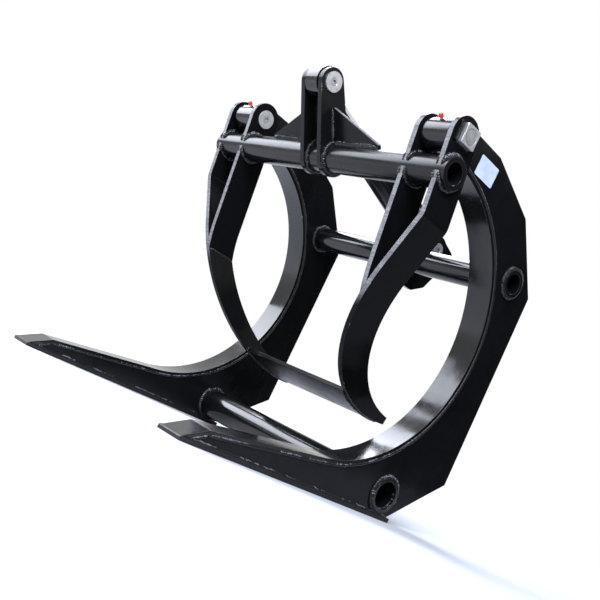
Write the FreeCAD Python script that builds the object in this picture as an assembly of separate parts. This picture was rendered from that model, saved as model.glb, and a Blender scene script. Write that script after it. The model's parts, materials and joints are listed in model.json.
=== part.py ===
"""Log grapple for a front loader: two C-shaped tine frames joined by cross tubes, a hinged jaw of two
bent claws on a torque tube, and one hydraulic cylinder that closes the jaw.

Millimetres. +X runs across the grapple, the tines point towards -Y and +Z is up. The origin is on the
ground, midway between the frames. Each outline is drawn in the side plane (y, z).
"""
import FreeCAD, Part
import math
import os

V = FreeCAD.Vector

# ---------------------------------------------------------------- tine frames
FRAME_SPACING = 800.0        # between the middles of the two frames
FRAME_WIDTH = 80.0           # over one frame's side plates
SIDE_T = 10.0                # side plate
LINER_T = 12.0               # curved liner that the logs lie on
WEAR_T = 12.0                # sole plate under the tine
WEAR_LEDGE = 4.0             # sole plate beyond the side plates
WEAR_TAIL = 10.0             # sole plate beyond the heel
BACK_T = 10.0                # closing bar between the side plates
LOG_Y = -112.0               # middle of the round log space
LOG_R = 394.0                # radius of the log space
THROAT = 86.0                # lowest point of the round log space above the ground
TINE_SLOPE = 7.3             # rise of the tine's top towards the heel, degrees
TINE_LENGTH = 360.0          # straight part of the tine's top
TIP_BEVEL = 26.5             # slope of the chisel tip, degrees
TIP_EDGE = 9.0               # thickness of the blunt front edge
REAR_WALL = 118.0            # from the log space to the flat rear face that the hitch is fixed to
REAR_LOW_Z = 151.0           # lower end of the rear face
REAR_RISE = 236.0            # its upper end above the middle of the log space
HEEL_INSET = 172.0           # from the rear face to where the sole ends and the heel rises
SHOULDER_INSET = 156.0       # from the rear face to the shoulder
SHOULDER_RISE = 172.0        # shoulder above the rear face's upper end
CROWN_BACK = 180.0           # crown behind the jaw's pivot
CROWN_RISE = 42.0            # crown above the jaw's pivot

# ---------------------------------------------------------------- cross tubes
LOWER_TUBE_INSET = 46.0      # its axis in front of the heel
LOWER_TUBE_Z = 63.0
LOWER_TUBE_R, LOWER_TUBE_WALL = 44.45, 8.0
MIDDLE_TUBE_INSET = 98.0     # its axis in front of the rear face
MIDDLE_TUBE_RISE = 240.0     # its axis above the middle of the log space
MIDDLE_TUBE_R, MIDDLE_TUBE_WALL = 38.05, 10.0
TUBE_PROUD = 8.0             # cross tube beyond the frame's outer face
WELD_GAP = 0.1               # radial gap of a tube or pin in a plate it is fixed to

# ---------------------------------------------------------------- jaw pivots
PIVOT_FRONT = 19.0           # pivot in front of the middle of the log space
PIVOT_RISE = 49.0            # pivot above the top of the log space
PIN_R = 20.0
RUN_FIT = 0.06               # radial clearance of a pin that turns in a bush
PRESS_GAP = 0.02             # radial gap modelled for a pressed bush
BUSH_WALL = 6.0
BUSH_LENGTH = 36.0
BOSS_R = 42.0
BOSS_CHAMFER = 1.5
BOSS_RIM = 5.0               # rim at each end of the boss, marked off by a groove
BOSS_GROOVE_W, BOSS_GROOVE = 2.5, 2.0
FRAME_HEAD_R = 48.0          # the frame's rear outline touches this circle round the pivot
INNER_ARM_GAP = 4.0          # between a frame and its inner arm plate
OUTER_ARM_GAP = 14.0         # between a frame and its outer arm plate
BOSS_END_GAP = 1.0           # between the boss and the arm plates
HEAD_PLATE = 52.0            # square head of the pivot pin
HEAD_PLATE_T = 18.0
HEAD_PLATE_ROUND = 3.0
STOP_BAR_W = 12.0            # bar that keeps the square head from turning
STOP_BAR_T = 8.0
STOP_GAP = 0.5
PIN_WASHER_R, PIN_WASHER_T = 28.0, 5.0
BOLT_R = 8.0                 # M16 countersunk screws in the pin ends
BOLT_HEAD_R = 13.0
BOLT_SOCKET = 10.0           # across the flats of its hexagon socket
SOCKET_DEPTH = 4.0
BOLT_DEPTH = 28.0            # tapped hole in the pin
BOLT_SPARE = 1.0             # a bolt ends this far above the bottom of its hole
NIPPLE_LEAN = 50.0           # grease nipple leans forward from the top of each boss, degrees
NIPPLE_R = 4.0
NIPPLE_LENGTH = 14.0         # screwed into the boss
NIPPLE_HEX = 9.0
NIPPLE_HEX_T = 3.0
NIPPLE_TIP_R = 2.6
NIPPLE_TIP = 8.0
CAP_R = 6.0                  # soft cap over the nipple's tip
CAP_LENGTH = 12.0
CAP_BEVEL = 2.5

# ---------------------------------------------------------------- arms and claws
ARM_T = 15.0
ARM_HEAD_R = 50.0
CLAW_SPARE = 7.8             # outer curve of the claw is wider than the log space by this much
CLAW_SET = 0.6               # foremost point of that curve behind the pivot
CLAW_FOOT = 227.0            # its lowest point above the ground
CLAW_TAPER = 18.1            # inner curve of the claw is tighter than the outer one by this much
CLAW_SHIFT_Y, CLAW_SHIFT_Z = 79.7, 2.8   # middle of the inner curve from that of the outer one
CLAW_TIP = 6.0               # where the claw ends on its outer curve, degrees past its lowest point
CLAW_NOSE_BACK = 9.0         # the claw's end leans back by this much over its depth
BEND_DROP = 214.0            # fold of the claw plate below the pivot
BEND_LEAN = 27.2             # inward lean below the fold, degrees
BEND_R = 22.0                # inner radius of the fold
BLADE_T = 12.0
BLADE_START = -23.6          # along the outer curve, degrees from its lowest point
BLADE_END = 4.2
BLADE_SLANT = 1.5            # slope of the blade's rear edge, in the same degrees

# ---------------------------------------------------------------- torque tube and clevis
TORQUE_BACK = 6.0            # torque tube's axis behind the pivot
TORQUE_DROP = 97.0           # and below it
TORQUE_R, TORQUE_WALL = 41.25, 14.0
TORQUE_PROUD = 15.0          # torque tube beyond the outer arm plates
CLEVIS_FRONT = 120.0         # clevis pin in front of the torque tube's axis
CLEVIS_RISE = 167.0          # and above it
LUG_GAP = 56.0               # between a pair of lugs
LUG_T = 16.0
CLEVIS_HEAD_R = 39.0
CLEVIS_LOBE_R = 52.0
GUSSET_T = 10.0
GUSSET_DROP = 68.0           # top of a gusset below the clevis pin, along the lug
GUSSET_LENGTH = 180.0
GUSSET_TOE = 8.0             # flat at its top and at its toe

# ---------------------------------------------------------------- cylinder and its bracket
BASE_PIN_BACK = 102.0        # base pin behind the middle tube's axis
BASE_PIN_RISE = 81.0         # and above it
CYL_PIN_R = 12.5
BASE_PIN_R = 15.0
BRACKET_LOBE_R = 56.0        # round the middle tube
BRACKET_HEAD_R = 45.0        # round the base pin
BRACKET_TAIL = 74.0          # bracket's foot below the middle tube's axis
BRACKET_FOOT_FRONT = 20.0    # foot in front of that axis
BRACKET_FOOT_REAR = 72.0     # foot behind that axis
BRACKET_CUT_Y, BRACKET_CUT_Z = 48.0, 30.0
BRACKET_BACK = 86.8          # rear corner behind the base pin
BRACKET_RISE = 16.0          # rear corner above the base pin
BRACKET_ROUND = 14.0
BRACKET_BACK_ROUND = 18.0
EYE_WIDTH = 48.0
BASE_EYE_R = 32.0
ROD_EYE_R = 42.0
LINK_PLAY = 19.8             # open pivot: radial play of the rod eye on its pin
BARREL_R = 47.5
BARREL_WALL = 7.5
BARREL_LENGTH = 250.0
BASE_CAP_T = 16.0
CAP_GAP = 2.5                # between the base cap and the bracket's edge
NECK_TRIM = 6.0              # base neck is slimmer than its eye by this much on each side
GLAND_LIP = 20.0             # gland outside the barrel
GLAND_SPIGOT = 26.0          # gland inside the barrel
ROD_R = 20.0
ROD_FIT = 0.08
ROD_STEP = 6.0               # rod is thinner by this much inside the piston
ROD_COLLAR = 3.5             # rod eye's collar is thicker than the rod by this much
ROD_NECK = 18.0              # collar's length outside the rod eye
PISTON_T = 36.0
PISTON_GAP = 22.0            # between piston and gland at full stroke, open to the front port
PORT_R = 13.0
PORT_BORE_R = 7.6
PORT_HEIGHT = 14.0
BASE_PORT = 24.0             # rear port from the base cap
GLAND_PORT = 12.0            # front port from the gland's inner end
CYL_WASHER_R, CYL_WASHER_T = 28.0, 6.0
BASE_WASHER_R = 22.0
CYL_BOLT_R = 6.0             # M12
CYL_BOLT_HEAD_R = 11.5
CYL_BOLT_SOCKET = 8.0
CYL_BOLT_DEPTH = 22.0

# ---------------------------------------------------------------- worked out from the sizes above
LOG_Z = THROAT + LOG_R
REAR_Y = LOG_Y + LOG_R + REAR_WALL
REAR_HIGH_Z = LOG_Z + REAR_RISE
HEEL_Y = REAR_Y - HEEL_INSET
SHOULDER_Y, SHOULDER_Z = REAR_Y - SHOULDER_INSET, REAR_HIGH_Z + SHOULDER_RISE
PIVOT_Y, PIVOT_Z = LOG_Y - PIVOT_FRONT, LOG_Z + LOG_R + PIVOT_RISE
CROWN_Y, CROWN_Z = PIVOT_Y + CROWN_BACK, PIVOT_Z + CROWN_RISE
LOWER_TUBE_Y = HEEL_Y - LOWER_TUBE_INSET
MIDDLE_TUBE_Y, MIDDLE_TUBE_Z = REAR_Y - MIDDLE_TUBE_INSET, LOG_Z + MIDDLE_TUBE_RISE
CLAW_FRONT_R = LOG_R + CLAW_SPARE
CLAW_FRONT_Y, CLAW_FRONT_Z = PIVOT_Y + CLAW_SET + CLAW_FRONT_R, CLAW_FOOT + CLAW_FRONT_R
CLAW_REAR_R = CLAW_FRONT_R - CLAW_TAPER
CLAW_REAR_Y, CLAW_REAR_Z = CLAW_FRONT_Y + CLAW_SHIFT_Y, CLAW_FRONT_Z + CLAW_SHIFT_Z
BEND_Z = PIVOT_Z - BEND_DROP
TORQUE_Y, TORQUE_Z = PIVOT_Y + TORQUE_BACK, PIVOT_Z - TORQUE_DROP
CLEVIS_Y, CLEVIS_Z = TORQUE_Y - CLEVIS_FRONT, TORQUE_Z + CLEVIS_RISE
BASE_PIN_Y, BASE_PIN_Z = MIDDLE_TUBE_Y + BASE_PIN_BACK, MIDDLE_TUBE_Z + BASE_PIN_RISE
FRAME_X = FRAME_SPACING / 2
INNER_FACE = FRAME_X - FRAME_WIDTH / 2
OUTER_FACE = FRAME_X + FRAME_WIDTH / 2
ARM_IN = INNER_FACE - INNER_ARM_GAP - ARM_T
ARM_OUT = OUTER_FACE + OUTER_ARM_GAP
FAR = 4 * LOG_R              # beyond every piece, for the shapes that trim them
LUG_IN = LUG_GAP / 2
LUG_OUT = LUG_IN + LUG_T
BEND_TAN = math.tan(math.radians(BEND_LEAN))
BEND_COS = math.cos(math.radians(BEND_LEAN))
CYL_LENGTH = math.hypot(CLEVIS_Y - BASE_PIN_Y, CLEVIS_Z - BASE_PIN_Z)
CYL_TILT = math.degrees(math.atan2(BASE_PIN_Y - CLEVIS_Y, CLEVIS_Z - BASE_PIN_Z))


# ---------------------------------------------------------------- drawing helpers
def edges_along(points, closed=True):
    """Straight edges through (y, z) points."""
    pairs = list(zip(points, points[1:] + points[:1])) if closed else list(zip(points, points[1:]))
    return [Part.makeLine(V(0, *a), V(0, *b)) for a, b in pairs]


def arc(center, radius, start, end):
    """Arc in the side plane between two angles in degrees, anticlockwise from +Y towards +Z."""
    def at(angle):
        a = math.radians(angle)
        return V(0, center[0] + radius * math.cos(a), center[1] + radius * math.sin(a))
    return Part.Arc(at(start), at((start + end) / 2), at(end)).toShape()


def rounded(corners):
    """Closed wire through (y, z, radius) corners, each rounded by a tangent arc."""
    edges = []
    ends = []
    count = len(corners)
    for i, (y, z, radius) in enumerate(corners):
        here = V(0, y, z)
        before = V(0, *corners[i - 1][:2]) - here
        after = V(0, *corners[(i + 1) % count][:2]) - here
        before.normalize()
        after.normalize()
        if radius <= 0:
            ends.append((here, None, here))
            continue
        half = before.getAngle(after) / 2
        reach = radius / math.tan(half)
        middle = before + after
        middle.normalize()
        touch = here + middle * (radius / math.sin(half) - radius)
        ends.append((here + before * reach, touch, here + after * reach))
    for i, (start, touch, end) in enumerate(ends):
        if touch is not None:
            edges.append(Part.Arc(start, touch, end).toShape())
        edges.append(Part.makeLine(end, ends[(i + 1) % count][0]))
    return Part.Wire(edges)


def between(wire, x0, x1):
    """Plate that fills a closed side-plane wire from x0 to x1."""
    if isinstance(wire, list):
        wire = Part.Wire(Part.__sortEdges__(wire))
    face = Part.Face(wire)
    face.translate(V(x0, 0, 0))
    return face.extrude(V(x1 - x0, 0, 0))


def bar_x(y, z, radius, x0, x1):
    """Round bar along X."""
    return Part.makeCylinder(radius, x1 - x0, V(x0, y, z), V(1, 0, 0))


def tube_x(y, z, radius, bore, x0, x1):
    """Tube along X."""
    return bar_x(y, z, radius, x0, x1).cut(bar_x(y, z, bore, x0, x1))


def mirrored(shape):
    """The same piece on the other side of the grapple."""
    return shape.mirror(V(0, 0, 0), V(1, 0, 0))


def tangents(c1, r1, c2, r2, side, crossed=False):
    """Touch points of a line on two circles; side +1 or -1 picks it, crossed passes between them."""
    dy, dz = c2[0] - c1[0], c2[1] - c1[1]
    distance = math.hypot(dy, dz)
    signed = -r2 if crossed else r2
    turn = side * math.acos((r1 - signed) / distance)
    angle = math.atan2(dz, dy) + turn
    n = (math.cos(angle), math.sin(angle))
    return (c1[0] + r1 * n[0], c1[1] + r1 * n[1]), (c2[0] + signed * n[0], c2[1] + signed * n[1])


def angle_of(center, point):
    """Direction from a centre to a point, degrees anticlockwise from +Y."""
    return math.degrees(math.atan2(point[1] - center[1], point[0] - center[0]))


def save(name, shape):
    """Write one named piece."""
    shape.exportStep("parts/" + name + ".step")


def save_pair(name, shape):
    """Write a piece for the right side and its mirror image for the left."""
    save("right_" + name, shape)
    save("left_" + name, mirrored(shape))


def save_both(name, shape):
    """Write two identical pieces, one each side, as one node."""
    save(name, Part.makeCompound([shape, mirrored(shape)]))


# ---------------------------------------------------------------- tine frames
LOG = (LOG_Y, LOG_Z)
PIVOT = (PIVOT_Y, PIVOT_Z)
SLOPE = math.radians(TINE_SLOPE)
TINE_DIR = (math.cos(SLOPE), math.sin(SLOPE))
LINER_TOP = math.degrees(math.atan2(PIVOT_Z - LOG_Z, PIVOT_Y - LOG_Y))


def tine_line(depth):
    """Front end and tangent point of the tine's top, moved down into the tine by depth."""
    radius = LOG_R + depth
    touch = (LOG_Y + radius * TINE_DIR[1], LOG_Z - radius * TINE_DIR[0])
    front = (touch[0] - TINE_LENGTH * TINE_DIR[0], touch[1] - TINE_LENGTH * TINE_DIR[1])
    return front, touch


TINE_FRONT = tine_line(0)[0]
BEVEL = math.radians(TIP_BEVEL)
TIP_Y = TINE_FRONT[0] - (TINE_FRONT[1] - TIP_EDGE) / math.tan(BEVEL)


def log_space(depth, x0, x1):
    """The open space over the tine and inside the C, grown by depth."""
    front, touch = tine_line(depth)
    far = (front[0] - FAR * TINE_DIR[0], front[1] - FAR * TINE_DIR[1])
    end = LINER_TOP
    top = (LOG_Y + (LOG_R + depth) * math.cos(math.radians(end)),
           LOG_Z + (LOG_R + depth) * math.sin(math.radians(end)))
    curve = arc(LOG, LOG_R + depth, TINE_SLOPE - 90, end)
    rest = edges_along([top, (far[0], top[1]), far, touch], closed=False)
    return between([curve] + rest, x0, x1)


def tip_wedge(depth, x0, x1):
    """Everything in front of and above the tip's bevelled face, moved into the tine by depth."""
    drop = depth / math.cos(BEVEL)
    low = (TIP_Y - FAR, TIP_EDGE - FAR * math.tan(BEVEL) - drop)
    high = (TINE_FRONT[0] + TINE_LENGTH, TINE_FRONT[1] + TINE_LENGTH * math.tan(BEVEL) - drop)
    return between(edges_along([low, high, (low[0], high[1])]), x0, x1)


def rear_corners(depth):
    """Corners of the frame's rear outline, from heel to crown, moved into the frame by depth."""
    crown = (CROWN_Y, CROWN_Z)
    line = [(HEEL_Y, WEAR_T), (REAR_Y, REAR_LOW_Z), (REAR_Y, REAR_HIGH_Z),
            (SHOULDER_Y, SHOULDER_Z), crown, tangents(crown, 0, PIVOT, FRAME_HEAD_R, -1)[1]]
    if depth == 0:
        return line
    moved = []
    for (y0, z0), (y1, z1) in zip(line, line[1:]):
        length = math.hypot(y1 - y0, z1 - z0)
        ny, nz = -(z1 - z0) / length * depth, (y1 - y0) / length * depth
        moved.append(((y0 + ny, z0 + nz), (y1 + ny, z1 + nz)))
    points = [moved[0][0]]
    for (a, b), (c, d) in zip(moved, moved[1:]):
        denominator = (b[0] - a[0]) * (d[1] - c[1]) - (b[1] - a[1]) * (d[0] - c[0])
        share = ((c[0] - a[0]) * (d[1] - c[1]) - (c[1] - a[1]) * (d[0] - c[0])) / denominator
        points.append((a[0] + share * (b[0] - a[0]), a[1] + share * (b[1] - a[1])))
    return points + [moved[-1][1]]


def side_plate(x0):
    """One side plate of a frame: fits under the liner, on the sole and round the tubes and boss."""
    x1 = x0 + SIDE_T
    corners = rear_corners(0) + [PIVOT, (TIP_Y, PIVOT_Z), (TIP_Y, WEAR_T)]
    plate = between(edges_along(corners), x0, x1)
    plate = plate.cut(log_space(LINER_T, x0, x1)).cut(tip_wedge(LINER_T, x0, x1))
    plate = plate.cut(bar_x(PIVOT_Y, PIVOT_Z, BOSS_R + WELD_GAP, x0, x1))
    plate = plate.cut(bar_x(LOWER_TUBE_Y, LOWER_TUBE_Z, LOWER_TUBE_R + WELD_GAP, x0, x1))
    plate = plate.cut(bar_x(MIDDLE_TUBE_Y, MIDDLE_TUBE_Z, MIDDLE_TUBE_R + WELD_GAP, x0, x1))
    return max(plate.Solids, key=lambda solid: solid.Volume)


def liner():
    """Curved liner over a frame's inner edge, from the tine's tip to the pivot boss."""
    front, touch = tine_line(0)
    low_front = (front[0], front[1] - LINER_T / math.cos(SLOPE))
    low_touch = tine_line(LINER_T)[1]
    edges = [Part.makeLine(V(0, *front), V(0, *touch)),
             arc(LOG, LOG_R, TINE_SLOPE - 90, LINER_TOP),
             Part.makeLine(V(0, *low_front), V(0, *low_touch)),
             arc(LOG, LOG_R + LINER_T, TINE_SLOPE - 90, LINER_TOP),
             Part.makeLine(V(0, *front), V(0, *low_front)),
             Part.makeLine(V(0, LOG_Y + LOG_R * math.cos(math.radians(LINER_TOP)),
                             LOG_Z + LOG_R * math.sin(math.radians(LINER_TOP))),
                           V(0, LOG_Y + (LOG_R + LINER_T) * math.cos(math.radians(LINER_TOP)),
                             LOG_Z + (LOG_R + LINER_T) * math.sin(math.radians(LINER_TOP))))]
    strip = between(edges, INNER_FACE, OUTER_FACE)
    return strip.cut(bar_x(PIVOT_Y, PIVOT_Z, BOSS_R + WELD_GAP, INNER_FACE, OUTER_FACE))


def tip_plate():
    """Bevelled plate that closes the front of a tine and carries its chisel edge."""
    drop = LINER_T / math.cos(BEVEL)
    run = LINER_T * math.tan(BEVEL)
    block = between(edges_along([(TIP_Y, TIP_EDGE), TINE_FRONT,
                                 (TINE_FRONT[0], TINE_FRONT[1] - drop),
                                 (TIP_Y + drop / math.tan(BEVEL) + run, TIP_EDGE + run * math.tan(BEVEL)),
                                 (TIP_Y + drop / math.tan(BEVEL), TIP_EDGE)]),
                    INNER_FACE, OUTER_FACE)
    return block.cut(sole())


def sole():
    """Wear plate under a tine, sharpened with the tip and proud of the heel."""
    x0, x1 = INNER_FACE - WEAR_LEDGE, OUTER_FACE + WEAR_LEDGE
    plate = Part.makeBox(x1 - x0, HEEL_Y + WEAR_TAIL - TIP_Y, WEAR_T, V(x0, TIP_Y, 0))
    return plate.cut(tip_wedge(0, x0, x1))


def back_bar():
    """Bent flat bar that closes the frame between its side plates, from heel to pivot boss."""
    x0, x1 = INNER_FACE + SIDE_T, OUTER_FACE - SIDE_T
    bar = between(edges_along(rear_corners(0) + rear_corners(BACK_T)[::-1]), x0, x1)
    floor = Part.makeBox(x1 - x0, REAR_Y, WEAR_T, V(x0, 0, 0))
    return bar.cut(floor).cut(bar_x(PIVOT_Y, PIVOT_Z, BOSS_R + WELD_GAP, x0, x1))


def pivot_boss():
    """Bored boss at the top of a frame, wider than the frame, with end rims and a grease hole."""
    x0, x1 = ARM_IN + ARM_T + BOSS_END_GAP, ARM_OUT - BOSS_END_GAP
    boss = tube_x(PIVOT_Y, PIVOT_Z, BOSS_R, PIN_R + RUN_FIT + BUSH_WALL, x0, x1)
    edges = [e for e in boss.Edges if len(e.Vertexes) == 1 and abs(e.Curve.Radius - BOSS_R) < 1]
    boss = boss.makeChamfer(BOSS_CHAMFER, edges)
    for start in (x0 + BOSS_RIM, x1 - BOSS_RIM - BOSS_GROOVE_W):
        boss = boss.cut(tube_x(PIVOT_Y, PIVOT_Z, 2 * BOSS_R, BOSS_R - BOSS_GROOVE, start,
                               start + BOSS_GROOVE_W))
    return boss.cut(leaned(Part.makeCylinder(NIPPLE_R, 2 * BOSS_R, V(FRAME_X, PIVOT_Y, PIVOT_Z))))


def leaned(shape):
    """Turn a piece that was drawn over the pivot to where the grease nipple stands."""
    shape.rotate(V(FRAME_X, PIVOT_Y, PIVOT_Z), V(1, 0, 0), NIPPLE_LEAN)
    return shape


def pivot_bushes():
    """Two plain bushes pressed into a boss from its ends."""
    x0, x1 = ARM_IN + ARM_T + BOSS_END_GAP, ARM_OUT - BOSS_END_GAP
    bore = PIN_R + RUN_FIT
    outer = bore + BUSH_WALL - PRESS_GAP
    return Part.makeCompound([tube_x(PIVOT_Y, PIVOT_Z, outer, bore, x0, x0 + BUSH_LENGTH),
                              tube_x(PIVOT_Y, PIVOT_Z, outer, bore, x1 - BUSH_LENGTH, x1)])


def hexagon(across, thickness, origin, axis):
    """Hexagonal head on an axis."""
    radius = across / math.sqrt(3)
    points = [V(radius * math.cos(math.radians(60 * i)), radius * math.sin(math.radians(60 * i)), 0)
              for i in range(7)]
    head = Part.Face(Part.makePolygon(points)).extrude(V(0, 0, thickness))
    head.Placement = FreeCAD.Placement(origin, FreeCAD.Rotation(V(0, 0, 1), axis))
    return head


def grease_nipple():
    """Grease nipple screwed into a boss."""
    top = PIVOT_Z + BOSS_R
    stem = Part.makeCylinder(NIPPLE_R - PRESS_GAP, NIPPLE_LENGTH, V(FRAME_X, PIVOT_Y, top - NIPPLE_LENGTH))
    collar = hexagon(NIPPLE_HEX, NIPPLE_HEX_T, V(FRAME_X, PIVOT_Y, top), V(0, 0, 1))
    tip = Part.makeCylinder(NIPPLE_TIP_R, NIPPLE_TIP, V(FRAME_X, PIVOT_Y, top + NIPPLE_HEX_T))
    return leaned(stem.fuse([collar, tip]).removeSplitter())


def grease_cap():
    """Soft cap pushed over a grease nipple."""
    foot = PIVOT_Z + BOSS_R + NIPPLE_HEX_T
    cap = Part.makeCylinder(CAP_R, CAP_LENGTH, V(FRAME_X, PIVOT_Y, foot))
    rim = [e for e in cap.Edges if len(e.Vertexes) == 1 and e.BoundBox.ZMin > foot + CAP_LENGTH / 2]
    cap = cap.makeChamfer(CAP_BEVEL, rim)
    return leaned(cap.cut(Part.makeCylinder(NIPPLE_TIP_R + PRESS_GAP, NIPPLE_TIP + PRESS_GAP,
                                            V(FRAME_X, PIVOT_Y, foot))))


def build_frames():
    """Both tine frames with their tubes, bosses and bushes."""
    save_pair("frame_outer_plate", side_plate(OUTER_FACE - SIDE_T))
    save_pair("frame_inner_plate", side_plate(INNER_FACE))
    save_pair("frame_liner", liner())
    save_pair("tine_tip", tip_plate())
    save_pair("tine_sole", sole())
    save_pair("frame_back_bar", back_bar())
    save_pair("pivot_boss", pivot_boss())
    save_pair("pivot_bushes", pivot_bushes())
    save_both("grease_nipples", grease_nipple())
    save_both("grease_caps", grease_cap())
    reach = OUTER_FACE + TUBE_PROUD
    save("lower_cross_tube", tube_x(LOWER_TUBE_Y, LOWER_TUBE_Z, LOWER_TUBE_R,
                                    LOWER_TUBE_R - LOWER_TUBE_WALL, -reach, reach))
    save("middle_cross_tube", tube_x(MIDDLE_TUBE_Y, MIDDLE_TUBE_Z, MIDDLE_TUBE_R,
                                     MIDDLE_TUBE_R - MIDDLE_TUBE_WALL, -reach, reach))


# ---------------------------------------------------------------- arms, claws and blade
FRONT = (CLAW_FRONT_Y, CLAW_FRONT_Z)
REAR = (CLAW_REAR_Y, CLAW_REAR_Z)


def arm_outline():
    """Side outline of arm and claw: round head, straight arm, and a tapered hook with two arcs."""
    head_front, hook_front = tangents(PIVOT, ARM_HEAD_R, FRONT, CLAW_FRONT_R, -1)
    head_rear, hook_rear = tangents(PIVOT, ARM_HEAD_R, REAR, CLAW_REAR_R, 1, crossed=True)
    tip_angle = CLAW_TIP - 90
    tip = (CLAW_FRONT_Y + CLAW_FRONT_R * math.cos(math.radians(tip_angle)),
           CLAW_FRONT_Z + CLAW_FRONT_R * math.sin(math.radians(tip_angle)))
    nose_y = tip[0] - CLAW_NOSE_BACK
    nose = (nose_y, CLAW_REAR_Z - math.sqrt(CLAW_REAR_R ** 2 - (nose_y - CLAW_REAR_Y) ** 2))
    front_start = angle_of(FRONT, hook_front)
    rear_start = angle_of(REAR, hook_rear)
    rear_end = angle_of(REAR, nose)
    start, end = angle_of(PIVOT, head_rear), angle_of(PIVOT, head_front)
    return [arc(PIVOT, ARM_HEAD_R, start, end % 360),
            Part.makeLine(V(0, *head_front), V(0, *hook_front)),
            arc(FRONT, CLAW_FRONT_R, front_start % 360, tip_angle + 360),
            Part.makeLine(V(0, *tip), V(0, *nose)),
            arc(REAR, CLAW_REAR_R, rear_end % 360, rear_start % 360),
            Part.makeLine(V(0, *hook_rear), V(0, *head_rear))]


def folded_strip(inner, outer):
    """Sheet seen from the front: upright, folded inwards at BEND_Z, between two offsets of its face."""
    def corner(offset):
        return BEND_Z - offset * (1 / BEND_COS - 1) / BEND_TAN

    def foot(offset):
        return ARM_OUT + offset / BEND_COS - BEND_TAN * BEND_Z
    top = PIVOT_Z + FAR
    corners = [(ARM_OUT + inner, top, 0), (ARM_OUT + inner, corner(inner), BEND_R + inner),
               (foot(inner), 0, 0), (foot(outer), 0, 0),
               (ARM_OUT + outer, corner(outer), BEND_R + outer), (ARM_OUT + outer, top, 0)]
    strip = between(rounded(corners), 0, FAR)
    strip.rotate(V(0, 0, 0), V(0, 0, 1), -90)
    strip.translate(V(0, FAR / 2, 0))
    return strip


def claw_plate():
    """Outer arm plate and claw in one piece, folded inwards below the pivot."""
    blank = between(arm_outline(), 0, FAR)
    claw = blank.common(folded_strip(0, ARM_T))
    claw = max(claw.Solids, key=lambda solid: solid.Volume)
    claw = claw.cut(bar_x(PIVOT_Y, PIVOT_Z, PIN_R + WELD_GAP, 0, FAR))
    return claw.cut(bar_x(TORQUE_Y, TORQUE_Z, TORQUE_R + WELD_GAP, 0, FAR))


def inner_arm():
    """Straight inner arm plate, mitred onto the claw's inward lean."""
    plate = between(arm_outline(), ARM_IN, ARM_IN + ARM_T)
    plate = plate.cut(folded_strip(0, FAR))
    plate = max(plate.Solids, key=lambda solid: solid.BoundBox.ZMax)
    plate = plate.cut(bar_x(PIVOT_Y, PIVOT_Z, PIN_R + WELD_GAP, 0, FAR))
    return plate.cut(bar_x(TORQUE_Y, TORQUE_Z, TORQUE_R + WELD_GAP, 0, FAR))


def cross_blade():
    """Curved blade between the claw tips, flush with their outer curve."""
    start, end = BLADE_START - 90, BLADE_END - 90

    def at(radius, angle):
        a = math.radians(angle)
        return V(0, CLAW_FRONT_Y + radius * math.cos(a), CLAW_FRONT_Z + radius * math.sin(a))
    inner = CLAW_FRONT_R - BLADE_T
    edges = [arc(FRONT, CLAW_FRONT_R, start, end), arc(FRONT, inner, start, end - BLADE_SLANT),
             Part.makeLine(at(CLAW_FRONT_R, start), at(inner, start)),
             Part.makeLine(at(CLAW_FRONT_R, end), at(inner, end - BLADE_SLANT))]
    blade = between(edges, -ARM_OUT, ARM_OUT)
    claws = folded_strip(0, FAR)
    return blade.cut(claws).cut(mirrored(claws))


def build_jaw_arms():
    """Claws, inner arms, blade and the torque tube that joins them."""
    save_pair("claw_plate", claw_plate())
    save_pair("inner_arm_plate", inner_arm())
    save("cross_blade", cross_blade())
    reach = ARM_OUT + ARM_T + TORQUE_PROUD
    save("torque_tube", tube_x(TORQUE_Y, TORQUE_Z, TORQUE_R, TORQUE_R - TORQUE_WALL, -reach, reach))


# ---------------------------------------------------------------- clevis on the torque tube
TORQUE = (TORQUE_Y, TORQUE_Z)
CLEVIS = (CLEVIS_Y, CLEVIS_Z)


def stadium(c1, r1, c2, r2):
    """Outline round two circles and the two straight lines that touch both."""
    a1, a2 = tangents(c1, r1, c2, r2, 1)
    b1, b2 = tangents(c1, r1, c2, r2, -1)
    start1, end1 = angle_of(c1, a1), angle_of(c1, b1)
    start2, end2 = angle_of(c2, b2), angle_of(c2, a2)
    if end1 < start1:
        end1 += 360
    if end2 < start2:
        end2 += 360
    return [arc(c1, r1, start1, end1), Part.makeLine(V(0, *b1), V(0, *b2)),
            arc(c2, r2, start2, end2), Part.makeLine(V(0, *a2), V(0, *a1))]


def clevis_lug():
    """Lug that wraps the torque tube and carries one end of the clevis pin."""
    lug = between(stadium(CLEVIS, CLEVIS_HEAD_R, TORQUE, CLEVIS_LOBE_R), LUG_IN, LUG_OUT)
    lug = lug.cut(bar_x(TORQUE_Y, TORQUE_Z, TORQUE_R + WELD_GAP, LUG_IN, LUG_OUT))
    return lug.cut(bar_x(CLEVIS_Y, CLEVIS_Z, CYL_PIN_R + WELD_GAP, LUG_IN, LUG_OUT))


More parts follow.
